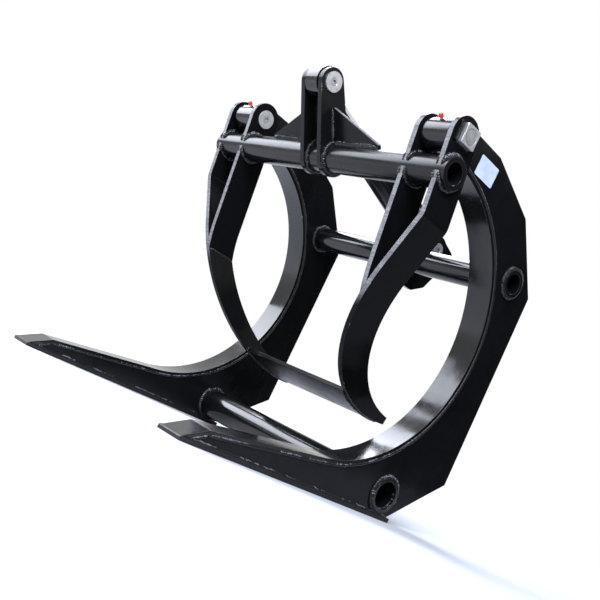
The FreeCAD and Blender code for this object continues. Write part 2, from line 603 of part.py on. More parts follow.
def gusset():
    """Triangular web between lug and torque tube, in the lug's own middle plane."""
    lean = math.degrees(math.atan2(CLEVIS_FRONT, CLEVIS_RISE))
    inner = TORQUE_R - GUSSET_T / 2
    height = math.hypot(CLEVIS_FRONT, CLEVIS_RISE) - GUSSET_DROP
    points = [V(LUG_OUT, 0, inner), V(LUG_OUT + GUSSET_LENGTH, 0, inner),
              V(LUG_OUT + GUSSET_LENGTH, 0, TORQUE_R + GUSSET_TOE),
              V(LUG_OUT + GUSSET_TOE, 0, height), V(LUG_OUT, 0, height), V(LUG_OUT, 0, inner)]
    web = Part.Face(Part.makePolygon(points)).extrude(V(0, GUSSET_T, 0))
    web.translate(V(0, -GUSSET_T / 2, 0))
    web.rotate(V(0, 0, 0), V(1, 0, 0), lean)
    web.translate(V(0, TORQUE_Y, TORQUE_Z))
    return web.cut(bar_x(TORQUE_Y, TORQUE_Z, TORQUE_R, 0, ARM_IN))


def build_clevis():
    """Lugs and gussets on the torque tube."""
    save_pair("clevis_lug", clevis_lug())
    save_pair("clevis_gusset", gusset())


# ---------------------------------------------------------------- pins, washers and bolts
def cone_x(y, z, x, side, head_radius, radius, gap):
    """Countersink along X that opens at x towards side, grown by gap."""
    depth = head_radius - radius
    return Part.makeCone(head_radius + gap, radius + gap, depth, V(x, y, z), V(-side, 0, 0))


def end_screw(y, z, x, side, sizes, depth):
    """Countersunk socket screw along X, flush with the face at x; side is +1 or -1 for its head."""
    radius, head_radius, socket = sizes
    shank = Part.makeCylinder(radius, depth, V(x, y, z), V(-side, 0, 0))
    screw = shank.fuse(cone_x(y, z, x, side, head_radius, radius, 0)).removeSplitter()
    return screw.cut(hexagon(socket, SOCKET_DEPTH, V(x, y, z), V(-side, 0, 0)))


def end_washer(y, z, x, side, outer, thickness, sizes):
    """Thick washer on a pin's end, countersunk for its screw; x is its outer face."""
    radius, head_radius, _ = sizes
    washer = Part.makeCylinder(outer, thickness, V(x, y, z), V(-side, 0, 0))
    washer = washer.cut(Part.makeCylinder(radius + WELD_GAP, thickness, V(x, y, z), V(-side, 0, 0)))
    return washer.cut(cone_x(y, z, x, side, head_radius, radius, WELD_GAP))


def square_plate(y, z, x0, x1):
    """Square block on a pin's end with broken corners."""
    half = HEAD_PLATE / 2
    corners = [(y + dy * half, z + dz * half, HEAD_PLATE_ROUND)
               for dy, dz in ((-1, -1), (1, -1), (1, 1), (-1, 1))]
    return between(rounded(corners), x0, x1)


def build_pivot_pins():
    """Pivot pins with square outer heads, and a washer and bolt on the inner ends."""
    outside = ARM_OUT + ARM_T
    pin = bar_x(PIVOT_Y, PIVOT_Z, PIN_R, ARM_IN, outside + HEAD_PLATE_T)
    hole = bar_x(PIVOT_Y, PIVOT_Z, BOLT_R + PRESS_GAP, ARM_IN, ARM_IN + BOLT_DEPTH)
    save_both("pivot_pins", pin.cut(hole))
    head = square_plate(PIVOT_Y, PIVOT_Z, outside, outside + HEAD_PLATE_T)
    save_both("pin_head_plates", head.cut(bar_x(PIVOT_Y, PIVOT_Z, PIN_R + PRESS_GAP, outside,
                                                outside + HEAD_PLATE_T)))
    front = PIVOT_Y - HEAD_PLATE / 2 - STOP_GAP
    bar = Part.makeBox(STOP_BAR_T, STOP_BAR_W, HEAD_PLATE,
                       V(outside, front - STOP_BAR_W, PIVOT_Z - HEAD_PLATE / 2))
    save_both("pin_stop_bars", bar)
    face = ARM_IN - PIN_WASHER_T
    sizes = (BOLT_R, BOLT_HEAD_R, BOLT_SOCKET)
    save_both("pivot_washers", end_washer(PIVOT_Y, PIVOT_Z, face, -1, PIN_WASHER_R, PIN_WASHER_T, sizes))
    save_both("pivot_bolts", end_screw(PIVOT_Y, PIVOT_Z, face, -1, sizes,
                                       BOLT_DEPTH + PIN_WASHER_T - BOLT_SPARE))


def cross_pin(prefix, y, z, radius, washer_radius):
    """Pin through a pair of lugs, held by a washer and bolt on each end."""
    pin = bar_x(y, z, radius, -LUG_OUT, LUG_OUT)
    for side in (-1, 1):
        start = LUG_OUT - CYL_BOLT_DEPTH if side > 0 else -LUG_OUT
        pin = pin.cut(bar_x(y, z, CYL_BOLT_R + PRESS_GAP, start, start + CYL_BOLT_DEPTH))
    save(prefix + "_pin", pin)
    face = LUG_OUT + CYL_WASHER_T
    sizes = (CYL_BOLT_R, CYL_BOLT_HEAD_R, CYL_BOLT_SOCKET)
    save_both(prefix + "_pin_washers", end_washer(y, z, face, 1, washer_radius, CYL_WASHER_T, sizes))
    save_both(prefix + "_pin_bolts", end_screw(y, z, face, 1, sizes,
                                               CYL_BOLT_DEPTH + CYL_WASHER_T - BOLT_SPARE))


# ---------------------------------------------------------------- cylinder bracket
BASE_PIN = (BASE_PIN_Y, BASE_PIN_Z)
MIDDLE_TUBE = (MIDDLE_TUBE_Y, MIDDLE_TUBE_Z)


def bracket_lug():
    """Bracket plate: wraps the middle tube, carries the base pin above and behind it."""
    plate = between(stadium(BASE_PIN, BRACKET_HEAD_R, MIDDLE_TUBE, BRACKET_LOBE_R), LUG_IN, LUG_OUT)
    foot = MIDDLE_TUBE_Z - BRACKET_TAIL
    heel = MIDDLE_TUBE_Y + BRACKET_FOOT_REAR
    tail = rounded([(MIDDLE_TUBE_Y, MIDDLE_TUBE_Z, 0),
                    (MIDDLE_TUBE_Y - BRACKET_FOOT_FRONT, foot, BRACKET_ROUND),
                    (heel, foot, BRACKET_ROUND),
                    (heel + BRACKET_CUT_Y, foot + BRACKET_CUT_Z, BRACKET_ROUND),
                    (BASE_PIN_Y + BRACKET_BACK, BASE_PIN_Z + BRACKET_RISE, BRACKET_BACK_ROUND),
                    (BASE_PIN_Y, BASE_PIN_Z + BRACKET_HEAD_R, 0)])
    plate = plate.fuse(between(tail, LUG_IN, LUG_OUT)).removeSplitter()
    plate = plate.cut(bar_x(MIDDLE_TUBE_Y, MIDDLE_TUBE_Z, MIDDLE_TUBE_R + WELD_GAP, LUG_IN, LUG_OUT))
    return plate.cut(bar_x(BASE_PIN_Y, BASE_PIN_Z, BASE_PIN_R + WELD_GAP, LUG_IN, LUG_OUT))


# ---------------------------------------------------------------- hydraulic cylinder
def cap_start():
    """Distance from the base pin at which the base cap clears the bracket's front edge."""
    on_head, on_lobe = tangents(BASE_PIN, BRACKET_HEAD_R, MIDDLE_TUBE, BRACKET_LOBE_R, -1)
    along = ((CLEVIS_Y - BASE_PIN_Y) / CYL_LENGTH, (CLEVIS_Z - BASE_PIN_Z) / CYL_LENGTH)
    length = math.hypot(on_head[0] - on_lobe[0], on_head[1] - on_lobe[1])
    out = ((on_lobe[1] - on_head[1]) / length, (on_head[0] - on_lobe[0]) / length)
    depth = math.sqrt(BARREL_R ** 2 - LUG_IN ** 2)
    corner = (BASE_PIN_Y - depth * along[1], BASE_PIN_Z + depth * along[0])
    height = (on_head[0] - corner[0]) * out[0] + (on_head[1] - corner[1]) * out[1]
    return (height + CAP_GAP) / (along[0] * out[0] + along[1] * out[1])


def on_axis(shape):
    """Move a piece drawn along +Z from the base pin onto the cylinder's axis."""
    shape.rotate(V(0, 0, 0), V(1, 0, 0), CYL_TILT)
    shape.translate(V(0, BASE_PIN_Y, BASE_PIN_Z))
    return shape


def round_z(radius, start, end):
    """Round bar along +Z."""
    return Part.makeCylinder(radius, end - start, V(0, 0, start))


def eye_x(radius, bore, distance):
    """Eye across the cylinder's axis."""
    half = EYE_WIDTH / 2
    return bar_x(0, distance, radius, -half, half), bar_x(0, distance, bore, -half, half)


def base_eye():
    """Base cap with the eye that turns on the base pin."""
    body, bore = eye_x(BASE_EYE_R, BASE_PIN_R + RUN_FIT, 0)
    start = cap_start()
    half = BASE_EYE_R - NECK_TRIM
    neck = Part.makeBox(EYE_WIDTH, 2 * half, start, V(-EYE_WIDTH / 2, -half, 0))
    cap = round_z(BARREL_R, start, start + BASE_CAP_T)
    return on_axis(body.fuse([neck, cap]).removeSplitter().cut(bore))


def port(distance):
    """Port boss on the barrel, with its threaded hole through the wall."""
    boss = Part.makeCylinder(PORT_R, BARREL_R + PORT_HEIGHT, V(0, 0, distance), V(0, 1, 0))
    return boss.cut(round_z(BARREL_R, 0, CYL_LENGTH)).cut(port_hole(distance))


def port_hole(distance):
    """Bore of a port, from outside into the barrel."""
    return Part.makeCylinder(PORT_BORE_R, BARREL_R + PORT_HEIGHT, V(0, 0, distance), V(0, 1, 0))


def build_cylinder():
    """Barrel, base, ports, gland, rod, piston and rod eye, at full stroke."""
    bore = BARREL_R - BARREL_WALL
    start = cap_start() + BASE_CAP_T
    end = start + BARREL_LENGTH
    ports = (start + BASE_PORT, end - GLAND_SPIGOT - GLAND_PORT)
    barrel = round_z(BARREL_R, start, end).cut(round_z(bore, start, end))
    for distance in ports:
        barrel = barrel.cut(port_hole(distance))
    save("cylinder_barrel", on_axis(barrel))
    save("cylinder_ports", on_axis(Part.makeCompound([port(distance) for distance in ports])))
    save("cylinder_base_eye", base_eye())
    gland = round_z(BARREL_R, end, end + GLAND_LIP)
    gland = gland.fuse(round_z(bore - PRESS_GAP, end - GLAND_SPIGOT, end)).removeSplitter()
    gland = gland.cut(round_z(ROD_R + ROD_FIT, 0, CYL_LENGTH))
    save("cylinder_gland", on_axis(gland))
    piston_end = end - GLAND_SPIGOT - PISTON_GAP
    piston = round_z(bore - ROD_FIT, piston_end - PISTON_T, piston_end)
    piston = piston.cut(round_z(ROD_R - ROD_STEP + PRESS_GAP, 0, CYL_LENGTH))
    save("cylinder_piston", on_axis(piston))
    neck_end = CYL_LENGTH - ROD_EYE_R - ROD_NECK
    spigot = round_z(ROD_R - ROD_STEP, piston_end - PISTON_T, piston_end)
    rod = round_z(ROD_R, piston_end, neck_end).fuse(spigot)
    save("cylinder_rod", on_axis(rod.removeSplitter()))
    body, hole = eye_x(ROD_EYE_R, CYL_PIN_R + LINK_PLAY, CYL_LENGTH)
    collar = round_z(ROD_R + ROD_COLLAR, neck_end, CYL_LENGTH)
    save("cylinder_rod_eye", on_axis(body.fuse(collar).removeSplitter().cut(hole)))


def build():
    os.makedirs("parts", exist_ok=True)
    build_frames()
    build_jaw_arms()
    build_clevis()
    build_pivot_pins()
    cross_pin("clevis", CLEVIS_Y, CLEVIS_Z, CYL_PIN_R, CYL_WASHER_R)
    save_pair("bracket_lug", bracket_lug())
    cross_pin("base", BASE_PIN_Y, BASE_PIN_Z, BASE_PIN_R, BASE_WASHER_R)
    build_cylinder()


build()
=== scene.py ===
"""Looks of a log grapple: black enamel over fabricated plate, weld beads, bright plated pin hardware, a
chromed cylinder rod and a blank label, on a plain pale floor.

Metres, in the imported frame. +X runs across the grapple, the tines point towards -Y and +Z is up.
"""

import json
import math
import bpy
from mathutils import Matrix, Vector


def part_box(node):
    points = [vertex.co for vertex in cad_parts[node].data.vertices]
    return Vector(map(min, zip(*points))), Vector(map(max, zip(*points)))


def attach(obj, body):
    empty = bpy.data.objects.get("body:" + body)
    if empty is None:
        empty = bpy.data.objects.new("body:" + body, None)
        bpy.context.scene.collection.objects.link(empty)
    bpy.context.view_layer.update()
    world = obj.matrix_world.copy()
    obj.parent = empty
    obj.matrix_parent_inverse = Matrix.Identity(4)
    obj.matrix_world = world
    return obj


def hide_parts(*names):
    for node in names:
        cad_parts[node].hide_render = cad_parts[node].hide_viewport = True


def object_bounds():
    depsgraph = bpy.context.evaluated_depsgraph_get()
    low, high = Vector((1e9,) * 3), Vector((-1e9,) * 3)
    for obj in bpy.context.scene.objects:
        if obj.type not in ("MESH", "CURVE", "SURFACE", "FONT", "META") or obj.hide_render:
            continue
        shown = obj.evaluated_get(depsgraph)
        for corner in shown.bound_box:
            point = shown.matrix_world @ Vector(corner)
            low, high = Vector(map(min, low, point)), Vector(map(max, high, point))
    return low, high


bl_info = {
    "name": "Log grapple",
    "version": (1, 0, 0),
    "blender": (4, 5, 0),
    "location": "3D View > Sidebar > Grapple",
    "description": "Finishes, weld beads and stage for a front loader's log grapple",
    "category": "Object",
}

import bmesh
import bpy
import numpy as np
from bpy.props import BoolProperty, FloatProperty, FloatVectorProperty, IntProperty, PointerProperty
from mathutils import Matrix, Vector
from mathutils.bvhtree import BVHTree

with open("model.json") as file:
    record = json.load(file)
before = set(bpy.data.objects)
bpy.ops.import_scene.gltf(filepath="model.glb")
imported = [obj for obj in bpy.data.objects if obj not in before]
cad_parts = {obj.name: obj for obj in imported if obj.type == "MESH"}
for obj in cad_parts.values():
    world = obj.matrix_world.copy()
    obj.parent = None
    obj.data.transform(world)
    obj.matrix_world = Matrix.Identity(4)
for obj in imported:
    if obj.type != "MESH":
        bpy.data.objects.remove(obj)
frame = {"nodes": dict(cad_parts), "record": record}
CAD_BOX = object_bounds()
SIDES = ("right", "left")
BODY_OF = {node: body for body, nodes in frame["record"]["behaviour"]["bodies"].items() for node in nodes}

LOW = {node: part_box(node)[0] for node in frame["nodes"]}
HIGH = {node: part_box(node)[1] for node in frame["nodes"]}


def middle(node):
    """Middle of a CAD node's box."""
    return (LOW[node] + HIGH[node]) / 2


# ---- sizes and colours that a user would change
def colour_of(name, description, default, brightest=1.0):
    """Property that holds a colour."""
    return FloatVectorProperty(name=name, description=description, subtype="COLOR", size=3, min=0.0,
                               max=brightest, default=default)


def length_of(name, description, default, low, high):
    """Property that holds a length in metres."""
    return FloatProperty(name=name, description=description, subtype="DISTANCE", unit="LENGTH",
                         min=low, max=high, default=default)


def angle_of(name, description, degrees, **limits):
    """Property that holds an angle; its default is given in degrees."""
    return FloatProperty(name=name, description=description, subtype="ANGLE", unit="ROTATION",
                         default=math.radians(degrees), **limits)


def power_of(name, lamp, watts):
    """Property that holds a lamp's power."""
    return FloatProperty(name=name, description=f"Power of the {lamp}, in watts", min=0.0,
                         max=2000.0, default=watts)


class GrappleFinish(bpy.types.PropertyGroup):
    """Colours and amount of wear, and the colour of the painted highlight on cut edges."""
    enamel: colour_of("Enamel", "Colour of the black enamel", (0.0050, 0.0050, 0.0056))
    dust: colour_of("Dust", "Colour of the dry dust on upper faces", (0.16, 0.145, 0.125))
    bare: colour_of("Bare steel", "Colour of steel where the enamel is gone", (0.36, 0.35, 0.34))
    # near-white on cut edges that face forward: partly rubbed steel, partly a painted highlight
    rubbed: colour_of("Rubbed steel", "Colour of cut edges that logs have rubbed", (0.80, 0.80, 0.82))
    zinc: colour_of("Zinc", "Colour of the plated heads, washers and bolts", (0.68, 0.69, 0.70))
    label: colour_of("Label", "Colour of the blank label", (0.60, 0.67, 0.80))
    wear: FloatProperty(
        name="Edge wear", description="Share of the plates' edges that is worn", subtype="FACTOR",
        min=0.0, max=1.0, default=0.26)
    plate_edge: length_of("Plate edge radius", "Rounding of a cut plate's edge", 0.0011, 0.0001, 0.004)
    hardware_edge: length_of(
        "Hardware edge radius", "Rounding of a turned or cut head", 0.0007, 0.0001, 0.002)


class GrappleWelds(bpy.types.PropertyGroup):
    """Size of the weld beads."""
    tube: length_of("Tube bead", "Radius of the beads round the tubes", 0.0080, 0.001, 0.01)
    seam: length_of("Seam bead", "Radius of the beads along the plates", 0.0040, 0.001, 0.01)
    small: length_of("Small bead", "Radius of the beads in narrow gaps", 0.0022, 0.0005, 0.01)
    pitch: length_of("Ripple pitch", "Distance from one ripple to the next", 0.0058, 0.001, 0.01)
    relief: FloatProperty(
        name="Ripple relief", description="Depth of a ripple as a share of the bead", subtype="FACTOR",
        min=0.0, max=0.8, default=0.48)
    samples: IntProperty(
        name="Steps in a ripple", description="Mesh steps along one ripple", min=2, max=8, default=4)


class GrappleLabel(bpy.types.PropertyGroup):
    """The blank label on the right frame."""
    shown: BoolProperty(
        name="Label", description="Put the blank label on the right frame", default=True)
    width: length_of("Width", "Along the frame", 0.080, 0.01, 0.3)
    height: length_of("Height", "Across the frame", 0.055, 0.01, 0.3)
    behind: length_of("Behind the pivot", "From the pivot's axis to its middle", 0.1525, 0.05, 0.4)
    below: length_of("Below the pivot", "From the pivot's axis down to its middle", 0.013, -0.1, 0.4)
    tilt: angle_of("Tilt", "Turn of the label on the plate", -1.5, min=-1.6, max=1.6)
    thickness: length_of("Thickness", "Thickness of the film", 0.0004, 0.0001, 0.002)


class GrappleStage(bpy.types.PropertyGroup):
    """Camera, floor and lights."""
    place: FloatVectorProperty(
        name="Camera place", description="Where the camera stands", subtype="XYZ", unit="LENGTH",
        size=3, default=(1.90233, -1.60473, 0.15780))
    azimuth: angle_of("Azimuth", "Turn of the camera about Z, 0 looks along +Y", 49.450)
    elevation: angle_of("Elevation", "Tilt of the view, below 0 looks up", -6.562)
    roll: angle_of("Roll", "Turn of the camera about its own axis", 25.771)
    lens: FloatProperty(
        name="Lens", description="Focal length in mm on a 36 mm sensor", min=10, max=300, default=52.98)
    sky: colour_of("Sky", "Colour of the soft light from above", (0.62, 0.70, 0.92), 4.0)
    ground: colour_of("Ground", "Colour of the soft light from below", (0.22, 0.20, 0.18), 4.0)
    side: power_of("Side lamp", "soft lamp behind on the left", 80.0)
    tall: power_of("Tall lamp", "tall soft lamp on the left", 165.0)
    key: power_of("Key lamp", "lamp over the camera", 60.0)


# ---- shader node groups
class Net:
    """Short hand for building one node tree."""

    def __init__(self, tree):
        self.tree = tree

    def fill(self, node, values):
        """Sets a node's inputs, or links them where the value is a socket."""
        for key, value in values.items():
            if isinstance(value, bpy.types.NodeSocket):
                self.tree.links.new(value, node.inputs[key])
            else:
                node.inputs[key].default_value = value

    def node(self, kind, values=None, **settings):
        """Adds a node, sets its properties, and sets or links its inputs."""
        made = self.tree.nodes.new(kind)
        for key, value in settings.items():
            setattr(made, key, value)
        self.fill(made, values or {})
        return made

    def group(self, build, values):
        """Adds the node group of a builder and sets or links its inputs; returns its outputs."""
        if build not in GROUP_TREES:
            GROUP_TREES[build] = new_group(build)
        return self.node("ShaderNodeGroup", values, node_tree=GROUP_TREES[build]).outputs

    def place(self):
        """Object coordinates."""
        return self.node("ShaderNodeTexCoord").outputs["Object"]

    def facing(self):
        """The surface's normal as X, Y and Z."""
        normal = self.node("ShaderNodeNewGeometry").outputs["Normal"]
        return self.node("ShaderNodeSeparateXYZ", {0: normal}).outputs

    def mark(self, name):
        """Value that the mesh carries under a name."""
        return self.node("ShaderNodeAttribute", attribute_name=name).outputs["Fac"]

    def math(self, operation, *values, clamp=False):
        """Result of a Math node."""
        return self.node("ShaderNodeMath", dict(enumerate(values)), operation=operation,
                         use_clamp=clamp).outputs[0]

    def plus(self, first, second, clamp=False):
        """Sum of two values."""
        return self.math("ADD", first, second, clamp=clamp)

    def times(self, *values):
        """Product of two or more values."""
        product = values[0]
        for value in values[1:]:
            product = self.math("MULTIPLY", product, value)
        return product

    def vector(self, operation, *values, result="Vector"):
        """Result of a Vector Math node."""
        made = self.node("ShaderNodeVectorMath", dict(enumerate(values)), operation=operation)
        return made.outputs[result]

    def stretch(self, vector, scale):
        """Vector scaled along each axis."""
        return self.node("ShaderNodeMapping", {"Vector": vector, "Scale": scale}).outputs[0]

    def noise(self, vector, scale, detail=2.0, roughness=0.5):
        """Grey value of a noise texture."""
        return self.node("ShaderNodeTexNoise", {"Vector": vector, "Scale": scale, "Detail": detail,
                                                "Roughness": roughness}).outputs["Fac"]

    def between(self, value, low, high, to_low=0.0, to_high=1.0):
        """Value mapped smoothly from one range to another and clamped."""
        return self.node("ShaderNodeMapRange", {"Value": value, "From Min": low, "From Max": high,
                                                "To Min": to_low, "To Max": to_high},
                         interpolation_type="SMOOTHSTEP", clamp=True).outputs["Result"]

    def mix(self, share, first, second):
        """Colour between two colours."""
        return self.node("ShaderNodeMix", {0: share, 6: first, 7: second}, data_type="RGBA").outputs[2]

    def bump(self, height, strength=1.0, distance=1.0):
        """Normal of a surface with a height."""
        return self.node("ShaderNodeBump", {"Strength": strength, "Distance": distance,
                                            "Height": height}).outputs["Normal"]


WAVE_HEIGHT = 0.0011        # of rolled plate's waves
PEEL_HEIGHT = 0.000022      # of sprayed enamel's orange peel
BURNT_HEIGHT = 0.0006       # of the lines that cutting leaves
LATHE_PITCH = 0.0009        # from one turned ring to the next


def cutting_lines(net, vector):
    """Fine lines that run across a cut edge."""
    return net.noise(net.stretch(vector, (0.03, 1.0, 1.0)), 700.0, 2.0, 0.6)


def sprayed_enamel(net, given):
    """Normal and gloss of sprayed enamel: orange peel over wavy rolled plate and burnt cut edges."""
    vector = given["Vector"]
    waves = net.times(net.noise(vector, 11.0, 1.0, 0.45), net.times(given["Wave"], WAVE_HEIGHT))
    peel = net.times(net.noise(vector, 420.0, 1.0, 0.45), net.times(given["Peel"], PEEL_HEIGHT))
    sideways = net.math("ABSOLUTE", net.facing()["X"])
    flank = net.times(net.between(sideways, 0.15, 0.45, 1.0, 0.0), given["Cut"])
    burnt = net.times(cutting_lines(net, vector), flank, BURNT_HEIGHT)
    height = net.plus(net.plus(waves, peel), burnt)
    patches = net.between(net.noise(vector, 9.0, 5.0, 0.62), 0.35, 0.70, -0.03, 0.06)
    smears = net.noise(net.stretch(vector, (1.0, 1.0, 0.25)), 60.0, 4.0, 0.7)
    smears = net.between(smears, 0.45, 0.8, 0, 0.07)
    rough = net.plus(given["Gloss"], net.plus(patches, smears), clamp=True)
    rough = net.plus(rough, net.times(flank, 0.10), clamp=True)
    return {"Normal": net.bump(height), "Roughness": rough}


def edge_wear(net, given):
    """Mask of worn enamel: broken patches on rounded edges and a few chips; on weld beads' crests it
    masks painted glints instead.
    """
    vector = given["Vector"]
    both = net.plus(net.times(net.noise(vector, 14.0, 3.0, 0.6), 0.6),
                    net.times(net.noise(vector, 160.0, 4.0, 0.65), 0.4))
    limit = net.math("SUBTRACT", 0.72, net.times(given["Amount"], 0.45))
    worn_or_glint = net.times(net.between(both, limit, net.plus(limit, 0.035)), given["Edge"])
    limit = net.math("SUBTRACT", 0.80, net.times(given["Chips"], 0.25))
    chips = net.between(net.noise(vector, 75.0, 5.0, 0.7), limit, net.plus(limit, 0.015))
    return {"Mask": net.math("MAXIMUM", worn_or_glint, chips)}


def rubbed_edge(net, given):
    """Mask of a plate's cut edge, facing Towards, that is painted near-white: partly steel that logs have
    rubbed, partly a painted highlight. It has burnt cutting lines across it, a dotted groove along it,
    and is painted brighter on the side that Across marks with 1. Towards counts for both sides of the
    grapple."""
    vector, across, normal = given["Vector"], given["Across"], net.facing()
    either_side = net.node("ShaderNodeCombineXYZ", {0: net.math("ABSOLUTE", normal["X"]), 1: normal["Y"],
                                                    2: normal["Z"]}).outputs[0]
    forward = net.vector("DOT_PRODUCT", either_side, given["Towards"], result="Value")
    lines = net.between(cutting_lines(net, vector), 0.35, 0.60, 0.55, 1.0)
    patches = net.between(net.noise(vector, 45.0, 3.0, 0.6), 0.35, 0.65, 0.75, 1.0)
    # painted highlight: brighter towards the side that Across marks
    half = net.between(across, 0.40, 0.52, 0.30, 1.0)
    groove = net.times(net.between(across, 0.30, 0.38), net.between(across, 0.40, 0.50, 1.0, 0.0))
    dotted = net.times(groove, net.between(net.noise(vector, 260.0, 1.0), 0.42, 0.55))
    whole = net.math("SUBTRACT", 1.0, net.times(dotted, 0.8))
    return {"Mask": net.times(net.between(forward, 0.90, 0.965), net.times(lines, half), whole,
                              net.times(patches, given["Amount"]))}


def settled_dust(net, given):
    """Mask of dry dust, mostly on faces that look up."""
    vector = given["Vector"]
    lying = net.between(net.facing()["Z"], 0.15, 0.95, 0.10, 1.0)
    cloud = net.between(net.noise(vector, 7.0, 6.0, 0.68), 0.38, 0.72)
    grain = net.between(net.noise(vector, 240.0, 3.0, 0.6), 0.30, 0.75)
    return {"Mask": net.times(lying, cloud, grain, given["Amount"])}


def lathe_marks(net, given):
    """Height of the fine rings that a lathe leaves round an axis along X, through Centre."""
    away = net.vector("SUBTRACT", given["Vector"], given["Centre"])
    radius = net.vector("LENGTH", net.vector("MULTIPLY", away, (0, 1, 1)), result="Value")
    turns = net.math("DIVIDE", radius, given["Pitch"])
    rings = net.math("SINE", net.times(turns, 2 * math.pi))
    return {"Height": net.times(rings, net.noise(given["Vector"], 300.0, 2.0))}


VECTOR, NUMBER = "NodeSocketVector", "NodeSocketFloat"
ORIGIN = (0.0, 0.0, 0.0)
GROUPS = {      # builder, its inputs with their defaults, its outputs
    sprayed_enamel: ({"Vector": ORIGIN, "Peel": 1.0, "Wave": 1.0, "Cut": 0.0, "Gloss": 0.2},
                     {"Normal": VECTOR, "Roughness": NUMBER}),
    edge_wear: ({"Vector": ORIGIN, "Edge": 0.0, "Amount": 0.4, "Chips": 0.1}, {"Mask": NUMBER}),
    rubbed_edge: ({"Vector": ORIGIN, "Towards": (0.0, -1.0, 0.0), "Across": 0.0, "Amount": 0.8},
                  {"Mask": NUMBER}),
    settled_dust: ({"Vector": ORIGIN, "Amount": 0.3}, {"Mask": NUMBER}),
    lathe_marks: ({"Vector": ORIGIN, "Centre": ORIGIN, "Pitch": LATHE_PITCH}, {"Height": NUMBER}),
}
GROUP_TREES = {}


def new_group(build):
    """Shader node group with its named sockets, which carries its builder's name."""
    inputs, outputs = GROUPS[build]
    tree = bpy.data.node_groups.new(build.__name__, "ShaderNodeTree")
    for title, value in inputs.items():
        kind = VECTOR if isinstance(value, tuple) else NUMBER
        tree.interface.new_socket(title, in_out="INPUT", socket_type=kind).default_value = value
    for title, kind in outputs.items():
        tree.interface.new_socket(title, in_out="OUTPUT", socket_type=kind)
    net = Net(tree)
    enter, leave = net.node("NodeGroupInput"), net.node("NodeGroupOutput")
    net.fill(leave, build(net, enter.outputs))
    return tree


# ---- materials
GUSSET_SLOPE = (0.457, -0.519, 0.722)      # which way the right gusset's sloping edge faces; this cut edge gets a painted highlight
GUSSET_WEB = (0.0, -0.812, -0.584)         # which way the front of its web faces; the edge is painted brighter on this side
BROWNED = (0.15, 0.115, 0.09)              # colour of the browned parts of bare steel
PAINTED_BEAD_GLINTS = ((0.42, 0.43, 0.50), (0.05, 0.052, 0.065))      # painted glints: bright and dull colours on the beads' upward-looking crests
SCREW_RIM = ((0.035, 0.032, 0.03), 0.95)   # near-black on the eased rim of a screw head or a pin's end
PLATED_RIM_HIGHLIGHT = ((0.86, 0.87, 0.88), 0.35)    # painted highlight on the eased corners of a plated piece
ENAMELS = {
    "plate_enamel": dict(gloss=0.15, cut=0.1, chips=0.06, dust=0.10, ior=1.38, shine=0.22),
    "arm_enamel": dict(gloss=0.15, cut=1.0, rubbed=1.0, chips=0.06, dust=0.03, ior=1.33, shine=0.10),
    "gusset_enamel": dict(
        gloss=0.15, cut=0.3, rubbed=0.8, chips=0.06, dust=0.08, ior=1.36, shine=0.2,
        towards=GUSSET_SLOPE),
    "torque_enamel": dict(gloss=0.20, peel=0.6, wave=0.3, chips=0.03, dust=0.08, ior=1.38, shine=0.4),
    "tube_enamel": dict(gloss=0.11, peel=0.8, wave=0.3, chips=0.03, dust=0.12),
    "liner_enamel": dict(gloss=0.11, peel=0.5, wave=0.7, chips=0.10, dust=0.14),
    "blade_enamel": dict(gloss=0.30, chips=0.10, dust=0.6, shine=0.07),
    "sole_enamel": dict(gloss=0.22, chips=0.15, dust=0.1, wear_or_glint_scale=0.7),
    # on the beads the wear mask paints bluish-white glints on upward crests, a painted highlight
    "weld_enamel": dict(
        gloss=0.12, peel=1.2, wave=0.3, chips=0.0, dust=0.03, wear_or_glint_scale=1.9, painted_glint_colours=PAINTED_BEAD_GLINTS),
    "cylinder_enamel": dict(gloss=0.13, wave=0.25, chips=0.04, dust=0.15),
}
ZINCS = {       # CAD node on the pin's axis, brightness, colour and share of the rims
    "pivot_zinc": ("right_pivot_boss", 1.0, *PLATED_RIM_HIGHLIGHT),
    "pivot_screw_zinc": ("right_pivot_boss", 0.8, *SCREW_RIM),
    "clevis_zinc": ("clevis_pin", 1.08, *PLATED_RIM_HIGHLIGHT),
    "clevis_screw_zinc": ("clevis_pin", 0.85, *SCREW_RIM),
    "base_zinc": ("base_pin", 1.0, *PLATED_RIM_HIGHLIGHT),
    "base_screw_zinc": ("base_pin", 0.8, *SCREW_RIM),
}
TWO_TONES = {
    "ground_pin_steel": dict(
        tones=((0.42, 0.41, 0.40), (0.17, 0.13, 0.10)), patches=(45.0, 5.0, 0.65), limits=(0.42, 0.68),
        rough=(0.28, 0.55), relief=((1.0, 40.0, 40.0), 25.0, 0.6, 0.00004)),
    "bearing_bronze": dict(
        tones=((0.52, 0.33, 0.14), (0.09, 0.06, 0.035)), patches=(70.0, 4.0), limits=(0.45, 0.7),
        rough=(0.35, 0.22)),
    "hard_chrome": dict(
        tones=((0.72, 0.73, 0.74), (0.58, 0.575, 0.55)), patches=(22.0, 4.0, 0.6), limits=(0.40, 0.75),
        rough=(0.07, 0.19), metallic=1.0, relief=((30.0, 1.0, 1.0), 60.0, 0.4, 0.00002)),
    "red_cap": dict(
        tones=((0.62, 0.025, 0.02), (0.248, 0.010, 0.008)), patches=(130.0, 4.0, 0.65),
        limits=(0.50, 0.78), rough=(0.45, 0.65), metallic=0.0, ior=1.48,
        relief=((1.0, 1.0, 1.0), 1400.0, 0.5, 0.00004)),
}
MATERIALS = {}


def new_material(name):
    """Empty material with a Principled shader; returns the material, its net and the shader."""
    material = bpy.data.materials.new(name)
    material.use_nodes = True
    material.node_tree.nodes.clear()
    net = Net(material.node_tree)
    shader = net.node("ShaderNodeBsdfPrincipled")
    net.node("ShaderNodeOutputMaterial", {"Surface": shader.outputs[0]})
    return material, net, shader


def opaque(colour, brightness=1.0):
    """Three numbers as a four-number colour."""
    return (*[brightness * c for c in colour], 1.0)


